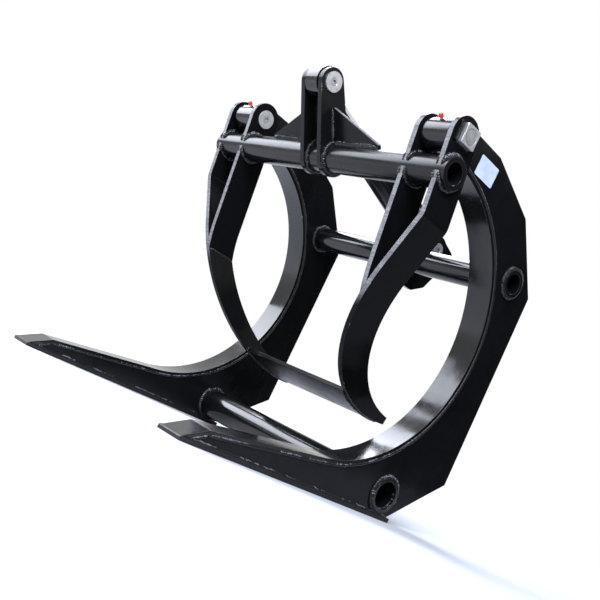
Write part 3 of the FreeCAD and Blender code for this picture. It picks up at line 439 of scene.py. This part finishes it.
def enamel_material(name, gloss=0.14, peel=1.0, wave=1.0, cut=0.0, rubbed=0.0, chips=0.1, dust=0.25,
                    wear_or_glint_scale=1.0, ior=1.42, shine=0.5, towards=(0, -1, 0), painted_glint_colours=None):
    """Black enamel over steel, with its own gloss, waviness, cut edges, chips and dust. Where painted
    glint colours are given, the worn places take them instead of bare steel, as painted glints only on
    places that look up."""
    finish = bpy.context.scene.grapple_finish
    material, net, shader = new_material(name)
    place = net.place()
    paint = net.group(sprayed_enamel, {"Vector": place, "Peel": peel, "Wave": wave, "Cut": cut,
                                       "Gloss": gloss})
    worn_or_glint = net.group(edge_wear, {"Vector": place, "Edge": net.mark("edge"), "Chips": chips,
                                 "Amount": finish.wear * wear_or_glint_scale})["Mask"]
    dusty = net.group(settled_dust, {"Vector": place, "Amount": dust})["Mask"]
    shade = net.between(net.noise(place, 5.0, 4.0, 0.6), 0.3, 0.7, 0.75, 1.35)
    colour = net.mix(dusty, net.mix(shade, opaque((0, 0, 0)), opaque(finish.enamel)), opaque(finish.dust))
    # painted highlight: the mask takes the glint colours, only on faces that look up
    if painted_glint_colours:
        worn_or_glint = net.times(worn_or_glint, net.between(net.facing()["Z"], 0.15, 0.7))
    light, dark = painted_glint_colours or (finish.bare, BROWNED)
    browned = net.between(net.noise(place, 90.0, 3.0), 0.45, 0.62)
    colour = net.mix(worn_or_glint, colour, net.mix(browned, opaque(light), opaque(dark)))
    # forward cut edges painted near-white: partly rubbed steel, partly a painted highlight
    if rubbed:
        bare = net.group(rubbed_edge, {"Vector": place, "Towards": towards, "Amount": rubbed,
                                       "Across": net.mark("across")})["Mask"]
        colour = net.mix(bare, colour, opaque(finish.rubbed))
        worn_or_glint = net.math("MAXIMUM", worn_or_glint, bare)
    rough = net.plus(paint["Roughness"], net.times(dusty, 0.5), clamp=True)
    rough = net.plus(rough, net.times(worn_or_glint, 0.22), clamp=True)
    net.fill(shader, {"Base Color": colour, "Roughness": rough, "Metallic": net.times(worn_or_glint, 0.55),
                      "Normal": paint["Normal"], "IOR": ior, "Specular IOR Level": shine})
    return material


def zinc_material(name, node, brightness, rim, rim_share):
    """Bright zinc plate over turned steel, with rings round a pin's axis and a set colour on the eased
    rims: lighter as a painted highlight on plated pieces, near-black on screw heads and pin ends.
    """
    zinc = bpy.context.scene.grapple_finish.zinc
    material, net, shader = new_material(name)
    place = net.place()
    rings = net.group(lathe_marks, {"Vector": place, "Centre": middle(node)})["Height"]
    cloud = net.noise(place, 60.0, 4.0, 0.6)
    colour = net.mix(net.between(cloud, 0.35, 0.7), opaque(zinc, brightness),
                     opaque(zinc, 0.72 * brightness))
    stain = net.between(net.noise(place, 230.0, 3.0, 0.7), 0.60, 0.72)
    colour = net.mix(net.times(stain, 0.55), colour, (0.30, 0.27, 0.22, 1.0))
    # rims: a painted highlight on plated pieces, near-black on screw heads and pin ends
    colour = net.mix(net.times(net.mark("edge"), rim_share), colour, opaque(rim))
    height = net.plus(net.times(rings, 0.000010), net.times(net.noise(place, 700.0, 2.0), 0.000035))
    net.fill(shader, {"Base Color": colour, "Roughness": net.between(cloud, 0.3, 0.75, 0.27, 0.46),
                      "Normal": net.bump(height), "Metallic": 0.85})
    return material


def two_tone_material(name, tones, patches, limits, rough, relief=None, metallic=0.9, ior=1.5):
    """Metal or plastic that turns from one tone and gloss to another in patches. patches is the noise's
    scale, detail and roughness; relief is a fine relief's stretch, scale, strength and height."""
    material, net, shader = new_material(name)
    place = net.place()
    share = net.between(net.noise(place, *patches), *limits)
    net.fill(shader, {"Base Color": net.mix(share, opaque(tones[0]), opaque(tones[1])),
                      "Roughness": net.between(share, 0.0, 1.0, *rough),
                      "Metallic": metallic, "IOR": ior})
    if relief:
        stretch, scale, strength, height = relief
        lines = net.noise(net.stretch(place, stretch), scale, 2.0)
        net.fill(shader, {"Normal": net.bump(lines, strength, height)})
    return material


def label_material():
    """Pale blank film with scuffs and a slightly uneven face."""
    film = bpy.context.scene.grapple_finish.label
    material, net, shader = new_material("blank_label_film")
    place = net.place()
    scuff = net.between(net.noise(net.stretch(place, (1, 1, 3)), 120.0, 5.0, 0.7), 0.58, 0.70)
    haze = net.between(net.noise(place, 35.0, 3.0), 0.35, 0.7)
    colour = net.mix(haze, opaque(film), opaque(film, 0.82))
    net.fill(shader, {"Base Color": net.mix(net.times(scuff, 0.5), colour, (0.33, 0.34, 0.37, 1.0)),
                      "Roughness": net.between(scuff, 0.0, 1.0, 0.22, 0.5),
                      "Normal": net.bump(net.noise(place, 90.0, 3.0), 0.5, 0.0001)})
    return material


def material(name):
    """Material by name, built the first time that it is asked for."""
    if name not in MATERIALS:
        if name in ENAMELS:
            MATERIALS[name] = enamel_material(name, **ENAMELS[name])
        elif name in ZINCS:
            MATERIALS[name] = zinc_material(name, *ZINCS[name])
        elif name in TWO_TONES:
            MATERIALS[name] = two_tone_material(name, **TWO_TONES[name])
        else:
            MATERIALS[name] = label_material()
    return MATERIALS[name]


# ---- mesh helpers
MERGED_WITHIN = 2e-6
IN_PLANE = 1e-5
DOUBLED_WITHIN = 1e-7
SEAM_STEP = 0.003      # spacing of the points at which a seam is looked for
SEAM_REACH = 0.0006    # a rim this close to the other piece is a seam
SEAM_SHORTEST = 0.012
FLAT_WITHIN = math.radians(0.4)     # faces that bend less than this are one flat face
SHARP_FROM = math.radians(28.0)     # edges that bend more than this are eased
BRIGHT_FROM = 0.6                   # share of the bright side's direction in a face's normal


def linked(name, data):
    """Object of some data, linked to the scene."""
    made = bpy.data.objects.new(name, data)
    bpy.context.scene.collection.objects.link(made)
    return made


def meshed(name, bm):
    """Object of a bmesh, which is freed."""
    mesh = bpy.data.meshes.new(name)
    bm.to_mesh(mesh)
    bm.free()
    return linked(name, mesh)


def new_piece(name, bm, body, finish, replaced=(), smooth_angle=40.0, even=False):
    """Makes an object of a bmesh, smooths it, paints it and lets it ride on a body."""
    piece = meshed(name, bm)
    piece.data.shade_smooth()
    piece.data.set_sharp_from_angle(angle=math.radians(smooth_angle))
    piece.data.materials.append(material(finish))
    if even:
        weights = piece.modifiers.new("even_normals", "WEIGHTED_NORMAL")
        weights.keep_sharp = True
    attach(piece, body)
    if replaced:
        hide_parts(*replaced)
    return piece


def merged(node):
    """Copy of a CAD node's mesh with its doubles merged and its flat faces made whole."""
    bm = bmesh.new()
    bm.from_mesh(frame["nodes"][node].data)
    bmesh.ops.remove_doubles(bm, verts=bm.verts, dist=MERGED_WITHIN)
    bmesh.ops.dissolve_limit(bm, angle_limit=FLAT_WITHIN, use_dissolve_boundaries=False,
                             verts=bm.verts, edges=bm.edges, delimit=set())
    return bm


def eased(node, radius, finish, bright_side=(1, 0, 0)):
    """The CAD node with its sharp edges eased. Eased faces carry the attribute edge = 1, and points on
    faces that look towards the bright side carry the attribute across = 1, which marks the side of a cut
    edge that is painted brighter."""
    bm = merged(node)
    mark = bm.faces.layers.float.new("edge")
    edges = [e for e in bm.edges if len(e.link_faces) == 2 and e.calc_face_angle(0.0) > SHARP_FROM]
    made = bmesh.ops.bevel(bm, geom=edges, offset=radius, offset_type="OFFSET", segments=2, profile=0.5,
                           affect="EDGES", clamp_overlap=True, material=-1)
    for face in made["faces"]:
        face[mark] = 1.0
    across = bm.verts.layers.float.new("across")
    bm.normal_update()
    for face in bm.faces:
        if face.normal.dot(bright_side) > BRIGHT_FROM:
            for vert in face.verts:
                vert[across] = 1.0
    return new_piece(node + "_finished", bm, BODY_OF[node], finish, replaced=[node],
                     even=True)


def rims(node, x):
    """Closed loops of points round the flat faces of a CAD node that lie in the plane at x, in the
    mesh's own order, so that each run gives the same loops."""
    bm = merged(node)
    flat = dict.fromkeys(f for f in bm.faces if all(abs(v.co.x - x) < IN_PLANE for v in f.verts))
    edges = dict.fromkeys(e for f in flat for e in f.edges if sum(g in flat for g in e.link_faces) == 1)
    loops = []
    while edges:
        edge = edges.popitem()[0]
        start, here = edge.verts
        loop = [start.co.copy(), here.co.copy()]
        while here is not start:
            onward = next((e for e in here.link_edges if e in edges), None)
            if onward is None:
                break
            edges.pop(onward)
            here = onward.other_vert(here)
            loop.append(here.co.copy())
        loops.append(loop)
    bm.free()
    return loops


def measured(points):
    """Path without doubled points, and how far along it each point lies."""
    path = np.array([tuple(point) for point in points], float)
    steps = np.linalg.norm(np.diff(path, axis=0), axis=1)
    apart = steps > DOUBLED_WITHIN
    return path[np.concatenate(([True], apart))], np.concatenate(([0.0], np.cumsum(steps[apart])))


def points_at(path, lengths, places):
    """Points that lie this far along a measured path."""
    return np.stack([np.interp(places, lengths, path[:, i]) for i in range(3)], axis=1)


def even_points(points):
    """Points spaced evenly along a path, about SEAM_STEP apart."""
    path, lengths = measured(points)
    count = max(2, int(round(lengths[-1] / SEAM_STEP)) + 1)
    return points_at(path, lengths, np.linspace(0.0, lengths[-1], count))


def surface_of(node):
    """Search tree over a CAD node's faces."""
    bm = bmesh.new()
    bm.from_mesh(frame["nodes"][node].data)
    tree = BVHTree.FromBMesh(bm)
    bm.free()
    return tree


def touches(tree, point):
    """Whether a point lies on the surface that a search tree holds."""
    return tree.find_nearest(Vector(point), SEAM_REACH)[0] is not None


def seams(node, x, neighbour):
    """Stretches of a plate's rim in the plane at x that touch another piece, as (points, closed)."""
    tree = surface_of(neighbour)
    found = []
    for loop in rims(node, x):
        points = even_points(loop)
        closed = (loop[0] - loop[-1]).length < 1e-6
        if closed:
            points = points[:-1]
        near = [touches(tree, p) for p in points]
        if all(near) and closed:
            found.append((np.vstack([points, points[:1]]), True))
            continue
        if closed and any(near):
            first = near.index(False)
            points = np.roll(points, -first, axis=0)
            near = near[first:] + near[:first]
        run = []
        for point, touching in list(zip(points, near)) + [(None, False)]:
            if touching:
                run.append(point)
                continue
            if len(run) * SEAM_STEP > SEAM_SHORTEST:
                found.append((np.array(run), False))
            run = []
    return found


BEAD_SIDES = 8
BEAD_WIDTH = 1.25         # over its height
BEAD_BOW = 0.45           # how far a ripple's middle runs ahead, in ripples
BEAD_UNEVEN = 0.10        # of its height and width
BEAD_DRIFT = 0.12         # from the seam, in radii
BEAD_TAPER = 2.2          # length of an open bead's ends, in radii
BEAD_TURN = 0.004         # length over which its direction is taken


def lay_bead(bm, points, normal, radius, closed=False, seed=1):
    """Adds a rippled weld bead along a path. normal points out of the plate, and the attribute edge is 1
    on the ripples' crests, where the weld enamel paints glints."""
    welds = bpy.context.scene.grapple_welds
    path, lengths = measured(points)
    total = lengths[-1]
    ripples = max(2, int(round(total / welds.pitch)))
    count = ripples * welds.samples
    crest = bm.verts.layers.float.get("edge") or bm.verts.layers.float.new("edge")
    grid = bmesh.ops.create_grid(bm, x_segments=count, y_segments=BEAD_SIDES, size=1.0)["verts"]
    flat = np.array([v.co[:2] for v in grid])
    along = (flat[:, 0] + 1) / 2
    turn = (flat[:, 1] + 1) * math.pi
    place = along * total

    def at(distance):
        return points_at(path, lengths, np.mod(distance, total) if closed else distance)

    reach = min(BEAD_TURN, total / 4)
    tangent = at(place + reach) - at(place - reach)
    tangent /= np.linalg.norm(tangent, axis=1, keepdims=True)
    out = np.broadcast_to(np.asarray(normal, float), tangent.shape)
    out = out - tangent * np.sum(out * tangent, axis=1, keepdims=True)
    out /= np.linalg.norm(out, axis=1, keepdims=True)
    side = np.cross(tangent, out)
    rng = np.random.default_rng(seed)
    phase = along * ripples - BEAD_BOW * np.sin(turn) ** 2
    number = np.floor(phase).astype(int) % ripples
    share = phase - np.floor(phase)
    heights = 1.0 + rng.uniform(-BEAD_UNEVEN, BEAD_UNEVEN, ripples)
    drift = np.interp(along * ripples, np.arange(ripples + 1),
                      np.concatenate((rng.uniform(-1, 1, ripples), [0.0])))
    if closed:
        drift = np.interp(np.mod(along * ripples, ripples), np.arange(ripples),
                          rng.uniform(-1, 1, ripples), period=ripples)
    size = radius * heights[number] * (1.0 - welds.relief * share ** 1.6)
    if not closed:
        end = np.minimum(place, total - place) / (BEAD_TAPER * radius)
        size = size * np.sqrt(np.clip(end, 0.0, 1.0))
    wide = size * BEAD_WIDTH * (1.0 + BEAD_UNEVEN * drift)
    centre = at(place) + side * (drift * radius * BEAD_DRIFT)[:, None]
    moved = centre + out * (np.cos(turn) * size)[:, None] + side * (np.sin(turn) * wide)[:, None]
    for vert, spot, high in zip(grid, moved, (1.0 - share) ** 1.5):
        vert.co = spot
        vert[crest] = high
    bmesh.ops.remove_doubles(bm, verts=grid, dist=1e-6)


def both_faces(node):
    """Where the faces of a plate lie on X, and which way each looks."""
    return (LOW[node].x, -1), (HIGH[node].x, 1)


def finish_beads(name, bm, body):
    """Makes one piece of a set of beads."""
    if not bm.verts:
        raise RuntimeError(name + " has no seam")
    bmesh.ops.recalc_face_normals(bm, faces=bm.faces)
    new_piece(name, bm, body, "weld_enamel", smooth_angle=80.0)


def weld_rims(bm, node, x, outward, runs, seed):
    """Beads where a plate's rim at x touches its neighbours; runs is [(neighbour, radius), ...]."""
    for number, (neighbour, radius) in enumerate(runs):
        for order, (points, closed) in enumerate(seams(node, x, neighbour)):
            lay_bead(bm, points, (outward, 0, 0), radius, closed, seed + 10 * number + order)


# ---- operators
class PlateOperator(bpy.types.Operator):
    """Gives the cut plates of both frames and of the jaw eased edges and enamel."""
    bl_idname = "grapple.plates"
    bl_label = "Cut plates"

    def execute(self, context):
        radius = context.scene.grapple_finish.plate_edge
        for side in SIDES:
            for name in ("frame_outer_plate", "frame_inner_plate", "frame_back_bar", "clevis_lug",
                         "bracket_lug"):
                eased(f"{side}_{name}", radius, "plate_enamel")
            eased(f"{side}_clevis_gusset", radius, "gusset_enamel", bright_side=GUSSET_WEB)
            for name in ("claw_plate", "inner_arm_plate"):
                eased(f"{side}_{name}", radius, "arm_enamel")
            for name in ("frame_liner", "tine_tip"):
                eased(f"{side}_{name}", radius, "liner_enamel")
            eased(f"{side}_tine_sole", radius, "sole_enamel")
        eased("cross_blade", radius, "blade_enamel")
        return {"FINISHED"}


class TubeOperator(bpy.types.Operator):
    """Gives the cross tubes, the torque tube and the pivot bosses their enamel."""
    bl_idname = "grapple.tubes"
    bl_label = "Tubes and bosses"

    def execute(self, context):
        radius = context.scene.grapple_finish.plate_edge
        for name in ("lower_cross_tube", "middle_cross_tube"):
            eased(name, radius, "tube_enamel")
        eased("torque_tube", radius, "torque_enamel")
        for side in SIDES:
            eased(f"{side}_pivot_boss", radius, "tube_enamel")
            eased(f"{side}_pivot_bushes", context.scene.grapple_finish.hardware_edge, "bearing_bronze")
        return {"FINISHED"}


class FrameWeldOperator(bpy.types.Operator):
    """Lays the beads that hold each frame together and the tubes, bosses and bracket in it."""
    bl_idname = "grapple.frame_welds"
    bl_label = "Frame welds"

    def execute(self, context):
        welds = context.scene.grapple_welds
        for index, side in enumerate(SIDES):
            sign = 1 if side == "right" else -1
            for plate, face in (("outer", 1), ("inner", -1)):
                node = f"{side}_frame_{plate}_plate"
                far, near = (HIGH, LOW) if face * sign > 0 else (LOW, HIGH)
                outside, inside = far[node].x, near[node].x
                outward = face * sign
                bm = bmesh.new()
                weld_rims(bm, node, outside, outward,
                          [(f"{side}_frame_liner", welds.seam), (f"{side}_tine_sole", welds.seam),
                           (f"{side}_tine_tip", welds.seam), ("lower_cross_tube", welds.tube),
                           ("middle_cross_tube", welds.tube),
                           (f"{side}_pivot_boss", welds.tube if plate == "outer" else welds.small)],
                          100 * index + 7)
                weld_rims(bm, node, inside, outward, [(f"{side}_frame_back_bar", welds.small)], 50)
                finish_beads(f"{side}_{plate}_plate_welds", bm, "frame")
            bm = bmesh.new()
            node = f"{side}_bracket_lug"
            for x, outward in both_faces(node):
                weld_rims(bm, node, x, outward, [("middle_cross_tube", welds.tube)], 300 + index)
            finish_beads(f"{side}_bracket_welds", bm, "frame")
        return {"FINISHED"}


class JawWeldOperator(bpy.types.Operator):
    """Lays the beads round the torque tube, along the gussets and where claws and arms meet."""
    bl_idname = "grapple.jaw_welds"
    bl_label = "Jaw welds"

    def execute(self, context):
        welds = context.scene.grapple_welds
        for index, side in enumerate(SIDES):
            sign = 1 if side == "right" else -1
            bm = bmesh.new()
            claw, arm, lug = (f"{side}_claw_plate", f"{side}_inner_arm_plate", f"{side}_clevis_lug")
            outer = HIGH[claw].x if sign > 0 else LOW[claw].x
            inner = outer - sign * (HIGH[arm].x - LOW[arm].x)
            weld_rims(bm, claw, outer, sign, [("torque_tube", welds.tube)], 400 + index)
            weld_rims(bm, claw, inner, -sign, [("torque_tube", welds.tube)], 410 + index)
            for x, outward in both_faces(arm):
                weld_rims(bm, arm, x, outward, [("torque_tube", welds.tube)], 420 + index)
                weld_rims(bm, arm, x, outward, [(claw, welds.seam)], 425 + index)
            for x, outward in both_faces(lug):
                weld_rims(bm, lug, x, outward, [("torque_tube", welds.tube)], 430 + index)
            self.weld_gusset(bm, side, welds, 440 + index)
            self.weld_blade(bm, side, welds, 450 + index)
            finish_beads(f"{side}_jaw_welds", bm, "jaw")
        return {"FINISHED"}

    def weld_gusset(self, bm, side, welds, seed):
        """Beads along a gusset's foot on the torque tube and up its edge on the lug."""
        node = f"{side}_clevis_gusset"
        solid = merged(node)
        solid.faces.ensure_lookup_table()
        webs = sorted(solid.faces, key=lambda f: f.calc_area())[-2:]
        trees = surface_of("torque_tube"), surface_of(f"{side}_clevis_lug")
        for number, web in enumerate(webs):
            for edge in web.edges:
                first, last = (v.co.copy() for v in edge.verts)
                spots = [first.lerp(last, share) for share in (0.1, 0.5, 0.9)]
                for tree in trees:
                    if all(touches(tree, spot) for spot in spots):
                        points = even_points([first, last])
                        lay_bead(bm, points, web.normal, welds.tube, False, seed + number)
        solid.free()

    def weld_blade(self, bm, side, welds, seed):
        """Beads where the curved cross blade meets a claw's inner face, on both of its faces."""
        solid = merged("cross_blade")
        tree = surface_of(f"{side}_claw_plate")
        touching = {}
        for edge in solid.edges:
            if all(touches(tree, v.co) for v in edge.verts):
                lean = sorted(abs(f.normal.x) for f in edge.link_faces)
                if lean[0] < 0.2 < lean[-1]:
                    first, last = edge.verts
                    touching.setdefault(first, []).append(last)
                    touching.setdefault(last, []).append(first)
        while touching:
            start = next((v for v in touching if len(touching[v]) == 1), next(iter(touching)))
            chain, here = [start], start
            while True:
                onward = [v for v in touching.pop(here, []) if v in touching]
                if not onward:
                    break
                here = onward[0]
                chain.append(here)
            if len(chain) > 1:
                points = even_points([v.co for v in chain])
                lay_bead(bm, points, (0, 0, 1), welds.seam, False, seed)
        solid.free()


class PinOperator(bpy.types.Operator):
    """Finishes the pins, their square heads, stop bars, washers and bolts."""
    bl_idname = "grapple.pins"
    bl_label = "Pins and bolts"

    def execute(self, context):
        radius = context.scene.grapple_finish.hardware_edge
        eased("pin_head_plates", radius, "pivot_zinc")
        eased("pivot_pins", radius * 1.6, "pivot_screw_zinc")
        for pin, name in (("pivot", "pivot"), ("clevis", "clevis_pin"), ("base", "base_pin")):
            eased(name + "_washers", radius, pin + "_zinc")
            eased(name + "_bolts", radius * 1.6, pin + "_screw_zinc")
        for name in ("clevis_pin", "base_pin"):
            eased(name, radius, "ground_pin_steel")
        eased("pin_stop_bars", context.scene.grapple_finish.plate_edge, "plate_enamel")
        return {"FINISHED"}


class GreaseOperator(bpy.types.Operator):
    """Finishes the grease nipples and their red caps."""
    bl_idname = "grapple.grease_points"
    bl_label = "Grease points"

    def execute(self, context):
        radius = context.scene.grapple_finish.hardware_edge
        eased("grease_nipples", radius * 0.5, "pivot_zinc")
        eased("grease_caps", radius, "red_cap")
        return {"FINISHED"}


class CylinderOperator(bpy.types.Operator):
    """Finishes the cylinder: enamelled barrel and eyes, chromed rod and bare piston."""
    bl_idname = "grapple.cylinder"
    bl_label = "Cylinder"

    def execute(self, context):
        radius = context.scene.grapple_finish.plate_edge
        for name in ("cylinder_barrel", "cylinder_ports", "cylinder_base_eye", "cylinder_gland",
                     "cylinder_rod_eye"):
            eased(name, radius, "cylinder_enamel")
        eased("cylinder_rod", radius, "hard_chrome")
        eased("cylinder_piston", radius, "ground_pin_steel")
        return {"FINISHED"}


LABEL_CORNER = 0.004      # radius


class LabelOperator(bpy.types.Operator):
    """Sticks a blank pale label on the right frame, below and behind the pivot."""
    bl_idname = "grapple.label"
    bl_label = "Blank label"

    def execute(self, context):
        label = context.scene.grapple_label
        if not label.shown:
            return {"FINISHED"}
        node = "right_frame_outer_plate"
        pivot = middle("right_pivot_boss")
        bm = bmesh.new()
        bmesh.ops.create_grid(bm, x_segments=8, y_segments=6, size=0.5)
        bmesh.ops.scale(bm, vec=(label.width, label.height, 1.0), verts=bm.verts)
        corners = [v for v in bm.verts if len(v.link_edges) == 2]
        bmesh.ops.bevel(bm, geom=corners, offset=LABEL_CORNER, offset_type="OFFSET", segments=4,
                        profile=0.5, affect="VERTICES", clamp_overlap=True, material=-1)
        bmesh.ops.solidify(bm, geom=bm.faces, thickness=-label.thickness)
        bmesh.ops.recalc_face_normals(bm, faces=bm.faces)
        bmesh.ops.rotate(bm, verts=bm.verts, matrix=Matrix.Rotation(label.tilt, 3, "Z"))
        upright = Matrix(((0, 0, 1), (1, 0, 0), (0, 1, 0)))
        bmesh.ops.transform(bm, matrix=upright.to_4x4(), verts=bm.verts)
        lowest = min(v.co.x for v in bm.verts)
        place = (HIGH[node].x - lowest, pivot.y + label.behind, pivot.z - label.below)
        bmesh.ops.translate(bm, vec=place, verts=bm.verts)
        new_piece("blank_label", bm, "frame", "blank_label_film")
        return {"FINISHED"}


SOFT_BOXES = {      # place, width and height, spread of the beam in degrees, seen by the camera
    "tall": ((-3.23, -2.22, 2.65), (2.6, 2.9), 140, True),
    "key": ((1.80, -1.55, 2.4), (1.3, 1.3), 130, True),
    "side": ((-2.36, 0.93, 3.35), (2.8, 1.5), 120, False),
}
LAMP_COLOUR = (0.84, 0.89, 1.0)
FLAG_SIZE = (3.6, 2.2)
FLAG_FROM_CENTRE = 2.8 * Vector((0.755, 0.646, 0.08))
FLOOR_SIZE = 24.0
FLOOR_FADE = (1.0, 4.5, 0.0, 0.85)      # from and to this far out its glow rises, from and to this much


class StageOperator(bpy.types.Operator):
    """Sets the floor, the soft lights and the camera."""
    bl_idname = "grapple.stage"
    bl_label = "Stage"

    def execute(self, context):
        stage = context.scene.grapple_stage
        turn = (Matrix.Rotation(stage.azimuth, 3, "Z")
                @ Matrix.Rotation(math.pi / 2 - stage.elevation, 3, "X")
                @ Matrix.Rotation(stage.roll, 3, "Z"))
        camera = linked("camera", bpy.data.cameras.new("camera"))
        camera.data.lens = stage.lens
        camera.data.sensor_width = 36.0
        camera.data.clip_start = 0.01
        camera.data.clip_end = 100.0
        camera.matrix_world = Matrix.Translation(stage.place) @ turn.to_4x4()
        context.scene.camera = camera
        centre = (CAD_BOX[0] + CAD_BOX[1]) / 2
        self.make_floor()
        self.make_sky(stage, above=turn @ Vector((0, 1, 0)))
        for name, settings in SOFT_BOXES.items():
            self.make_lamp(name + "_lamp", centre, getattr(stage, name), *settings)
        self.make_flag(centre)
        context.scene.view_settings.view_transform = "Standard"
        return {"FINISHED"}

    def make_lamp(self, name, target, power, place, size, spread, seen):
        """Upright soft box that looks at a point; its grid narrows the beam."""
        lamp = bpy.data.lights.new(name, "AREA")
        lamp.spread = math.radians(spread)
        lamp.shape = "RECTANGLE"
        lamp.size, lamp.size_y = size
        lamp.energy = power
        lamp.color = LAMP_COLOUR
        holder = linked(name, lamp)
        back = (Vector(place) - target).normalized()
        across = Vector((0, 0, 1)).cross(back).normalized()
        turn = Matrix((across, back.cross(across), back)).transposed()
        holder.matrix_world = Matrix.Translation(place) @ turn.to_4x4()
        holder.visible_camera = seen

    def make_sheet(self, name, size, place, material_name, colour, rough):
        """Flat matt sheet of the stage, facing its own +Z; returns it, its net and its shader."""
        bm = bmesh.new()
        bmesh.ops.create_grid(bm, x_segments=1, y_segments=1, size=0.5)
        bmesh.ops.scale(bm, vec=(*size, 1.0), verts=bm.verts)
        bmesh.ops.transform(bm, matrix=place, verts=bm.verts)
        sheet = meshed(name, bm)
        paint, net, shader = new_material(material_name)
        net.fill(shader, {"Base Color": opaque(colour), "Roughness": rough, "Specular IOR Level": 0.0})
        sheet.data.materials.append(paint)
        return sheet, net, shader

    def make_flag(self, centre):
        """Dark cloth on the right that keeps the plates' outer faces dark; the camera doesn't see it."""
        place = centre + FLAG_FROM_CENTRE
        turn = (centre - place).to_track_quat("Z", "Y").to_matrix().to_4x4()
        flag = self.make_sheet("flag", FLAG_SIZE, Matrix.Translation(place) @ turn, "flag_cloth",
                               (0.02, 0.02, 0.02), 1.0)[0]
        flag.visible_camera = False
        flag.visible_shadow = False

    def make_floor(self):
        """Large pale floor under the soles; it keeps the shadow, and its far part shows as white."""
        net, shader = self.make_sheet("floor", (FLOOR_SIZE, FLOOR_SIZE), Matrix(), "pale_floor",
                                      (0.62, 0.62, 0.62), 0.9)[1:]
        away = net.vector("LENGTH", net.place(), result="Value")
        glow = net.times(self.seen(net), net.between(away, *FLOOR_FADE))
        net.fill(shader, {"Emission Color": opaque((1, 1, 1)), "Emission Strength": glow})

    def seen(self, net):
        """1 for rays from the camera, and from metal and glass that mirror what it sees."""
        path = net.node("ShaderNodeLightPath").outputs
        return net.math("MAXIMUM", path["Is Camera Ray"],
                        net.math("MAXIMUM", path["Is Glossy Ray"], path["Is Transmission Ray"]))

    def make_sky(self, stage, above):
        """World: white to the camera, and to the rest a soft dome that is pale above, dim below."""
        world = bpy.data.worlds.new("studio")
        bpy.context.scene.world = world
        world.use_nodes = True
        world.node_tree.nodes.clear()
        net = Net(world.node_tree)
        ray = net.node("ShaderNodeTexCoord").outputs["Generated"]
        share = net.between(net.vector("DOT_PRODUCT", ray, tuple(above), result="Value"), 0.10, 0.55)
        colour = net.mix(share, opaque(stage.ground), opaque(stage.sky))
        dome = net.node("ShaderNodeBackground", {"Color": colour})
        white = net.node("ShaderNodeBackground", {"Color": opaque((1, 1, 1))})
        mixed = net.node("ShaderNodeMixShader", {0: self.seen(net), 1: dome.outputs[0],
                                                 2: white.outputs[0]})
        net.node("ShaderNodeOutputWorld", {"Surface": mixed.outputs[0]})


class GRAPPLE_PT_sidebar(bpy.types.Panel):
    """The grapple's operators and sizes in the 3D view's sidebar."""
    bl_label = "Log grapple"
    bl_idname = "GRAPPLE_PT_sidebar"
    bl_space_type = "VIEW_3D"
    bl_region_type = "UI"
    bl_category = "Grapple"

    def draw(self, context):
        column = self.layout.column()
        for kind in OPERATORS:
            column.operator(kind.bl_idname)
        for settings, kind in SETTINGS:
            box = self.layout.box()
            for name in kind.__annotations__:
                box.prop(getattr(context.scene, settings), name)


OPERATORS = (PlateOperator, TubeOperator, FrameWeldOperator, JawWeldOperator, PinOperator, GreaseOperator,
             CylinderOperator, LabelOperator, StageOperator)
SETTINGS = (("grapple_finish", GrappleFinish), ("grapple_welds", GrappleWelds),
            ("grapple_label", GrappleLabel), ("grapple_stage", GrappleStage))


def register():
    for settings, kind in SETTINGS:
        bpy.utils.register_class(kind)
        setattr(bpy.types.Scene, settings, PointerProperty(type=kind))
    for kind in OPERATORS:
        bpy.utils.register_class(kind)
    bpy.utils.register_class(GRAPPLE_PT_sidebar)


def unregister():
    bpy.utils.unregister_class(GRAPPLE_PT_sidebar)
    for kind in reversed(OPERATORS):
        bpy.utils.unregister_class(kind)
    for settings, kind in reversed(SETTINGS):
        delattr(bpy.types.Scene, settings)
        bpy.utils.unregister_class(kind)


def main():
    """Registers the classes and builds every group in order."""
    register()
    bpy.ops.grapple.plates()
    bpy.ops.grapple.tubes()
    bpy.ops.grapple.frame_welds()
    bpy.ops.grapple.jaw_welds()
    bpy.ops.grapple.pins()
    bpy.ops.grapple.grease_points()
    bpy.ops.grapple.cylinder()
    bpy.ops.grapple.label()
    bpy.ops.grapple.stage()


if __name__ == "__main__":
    main()
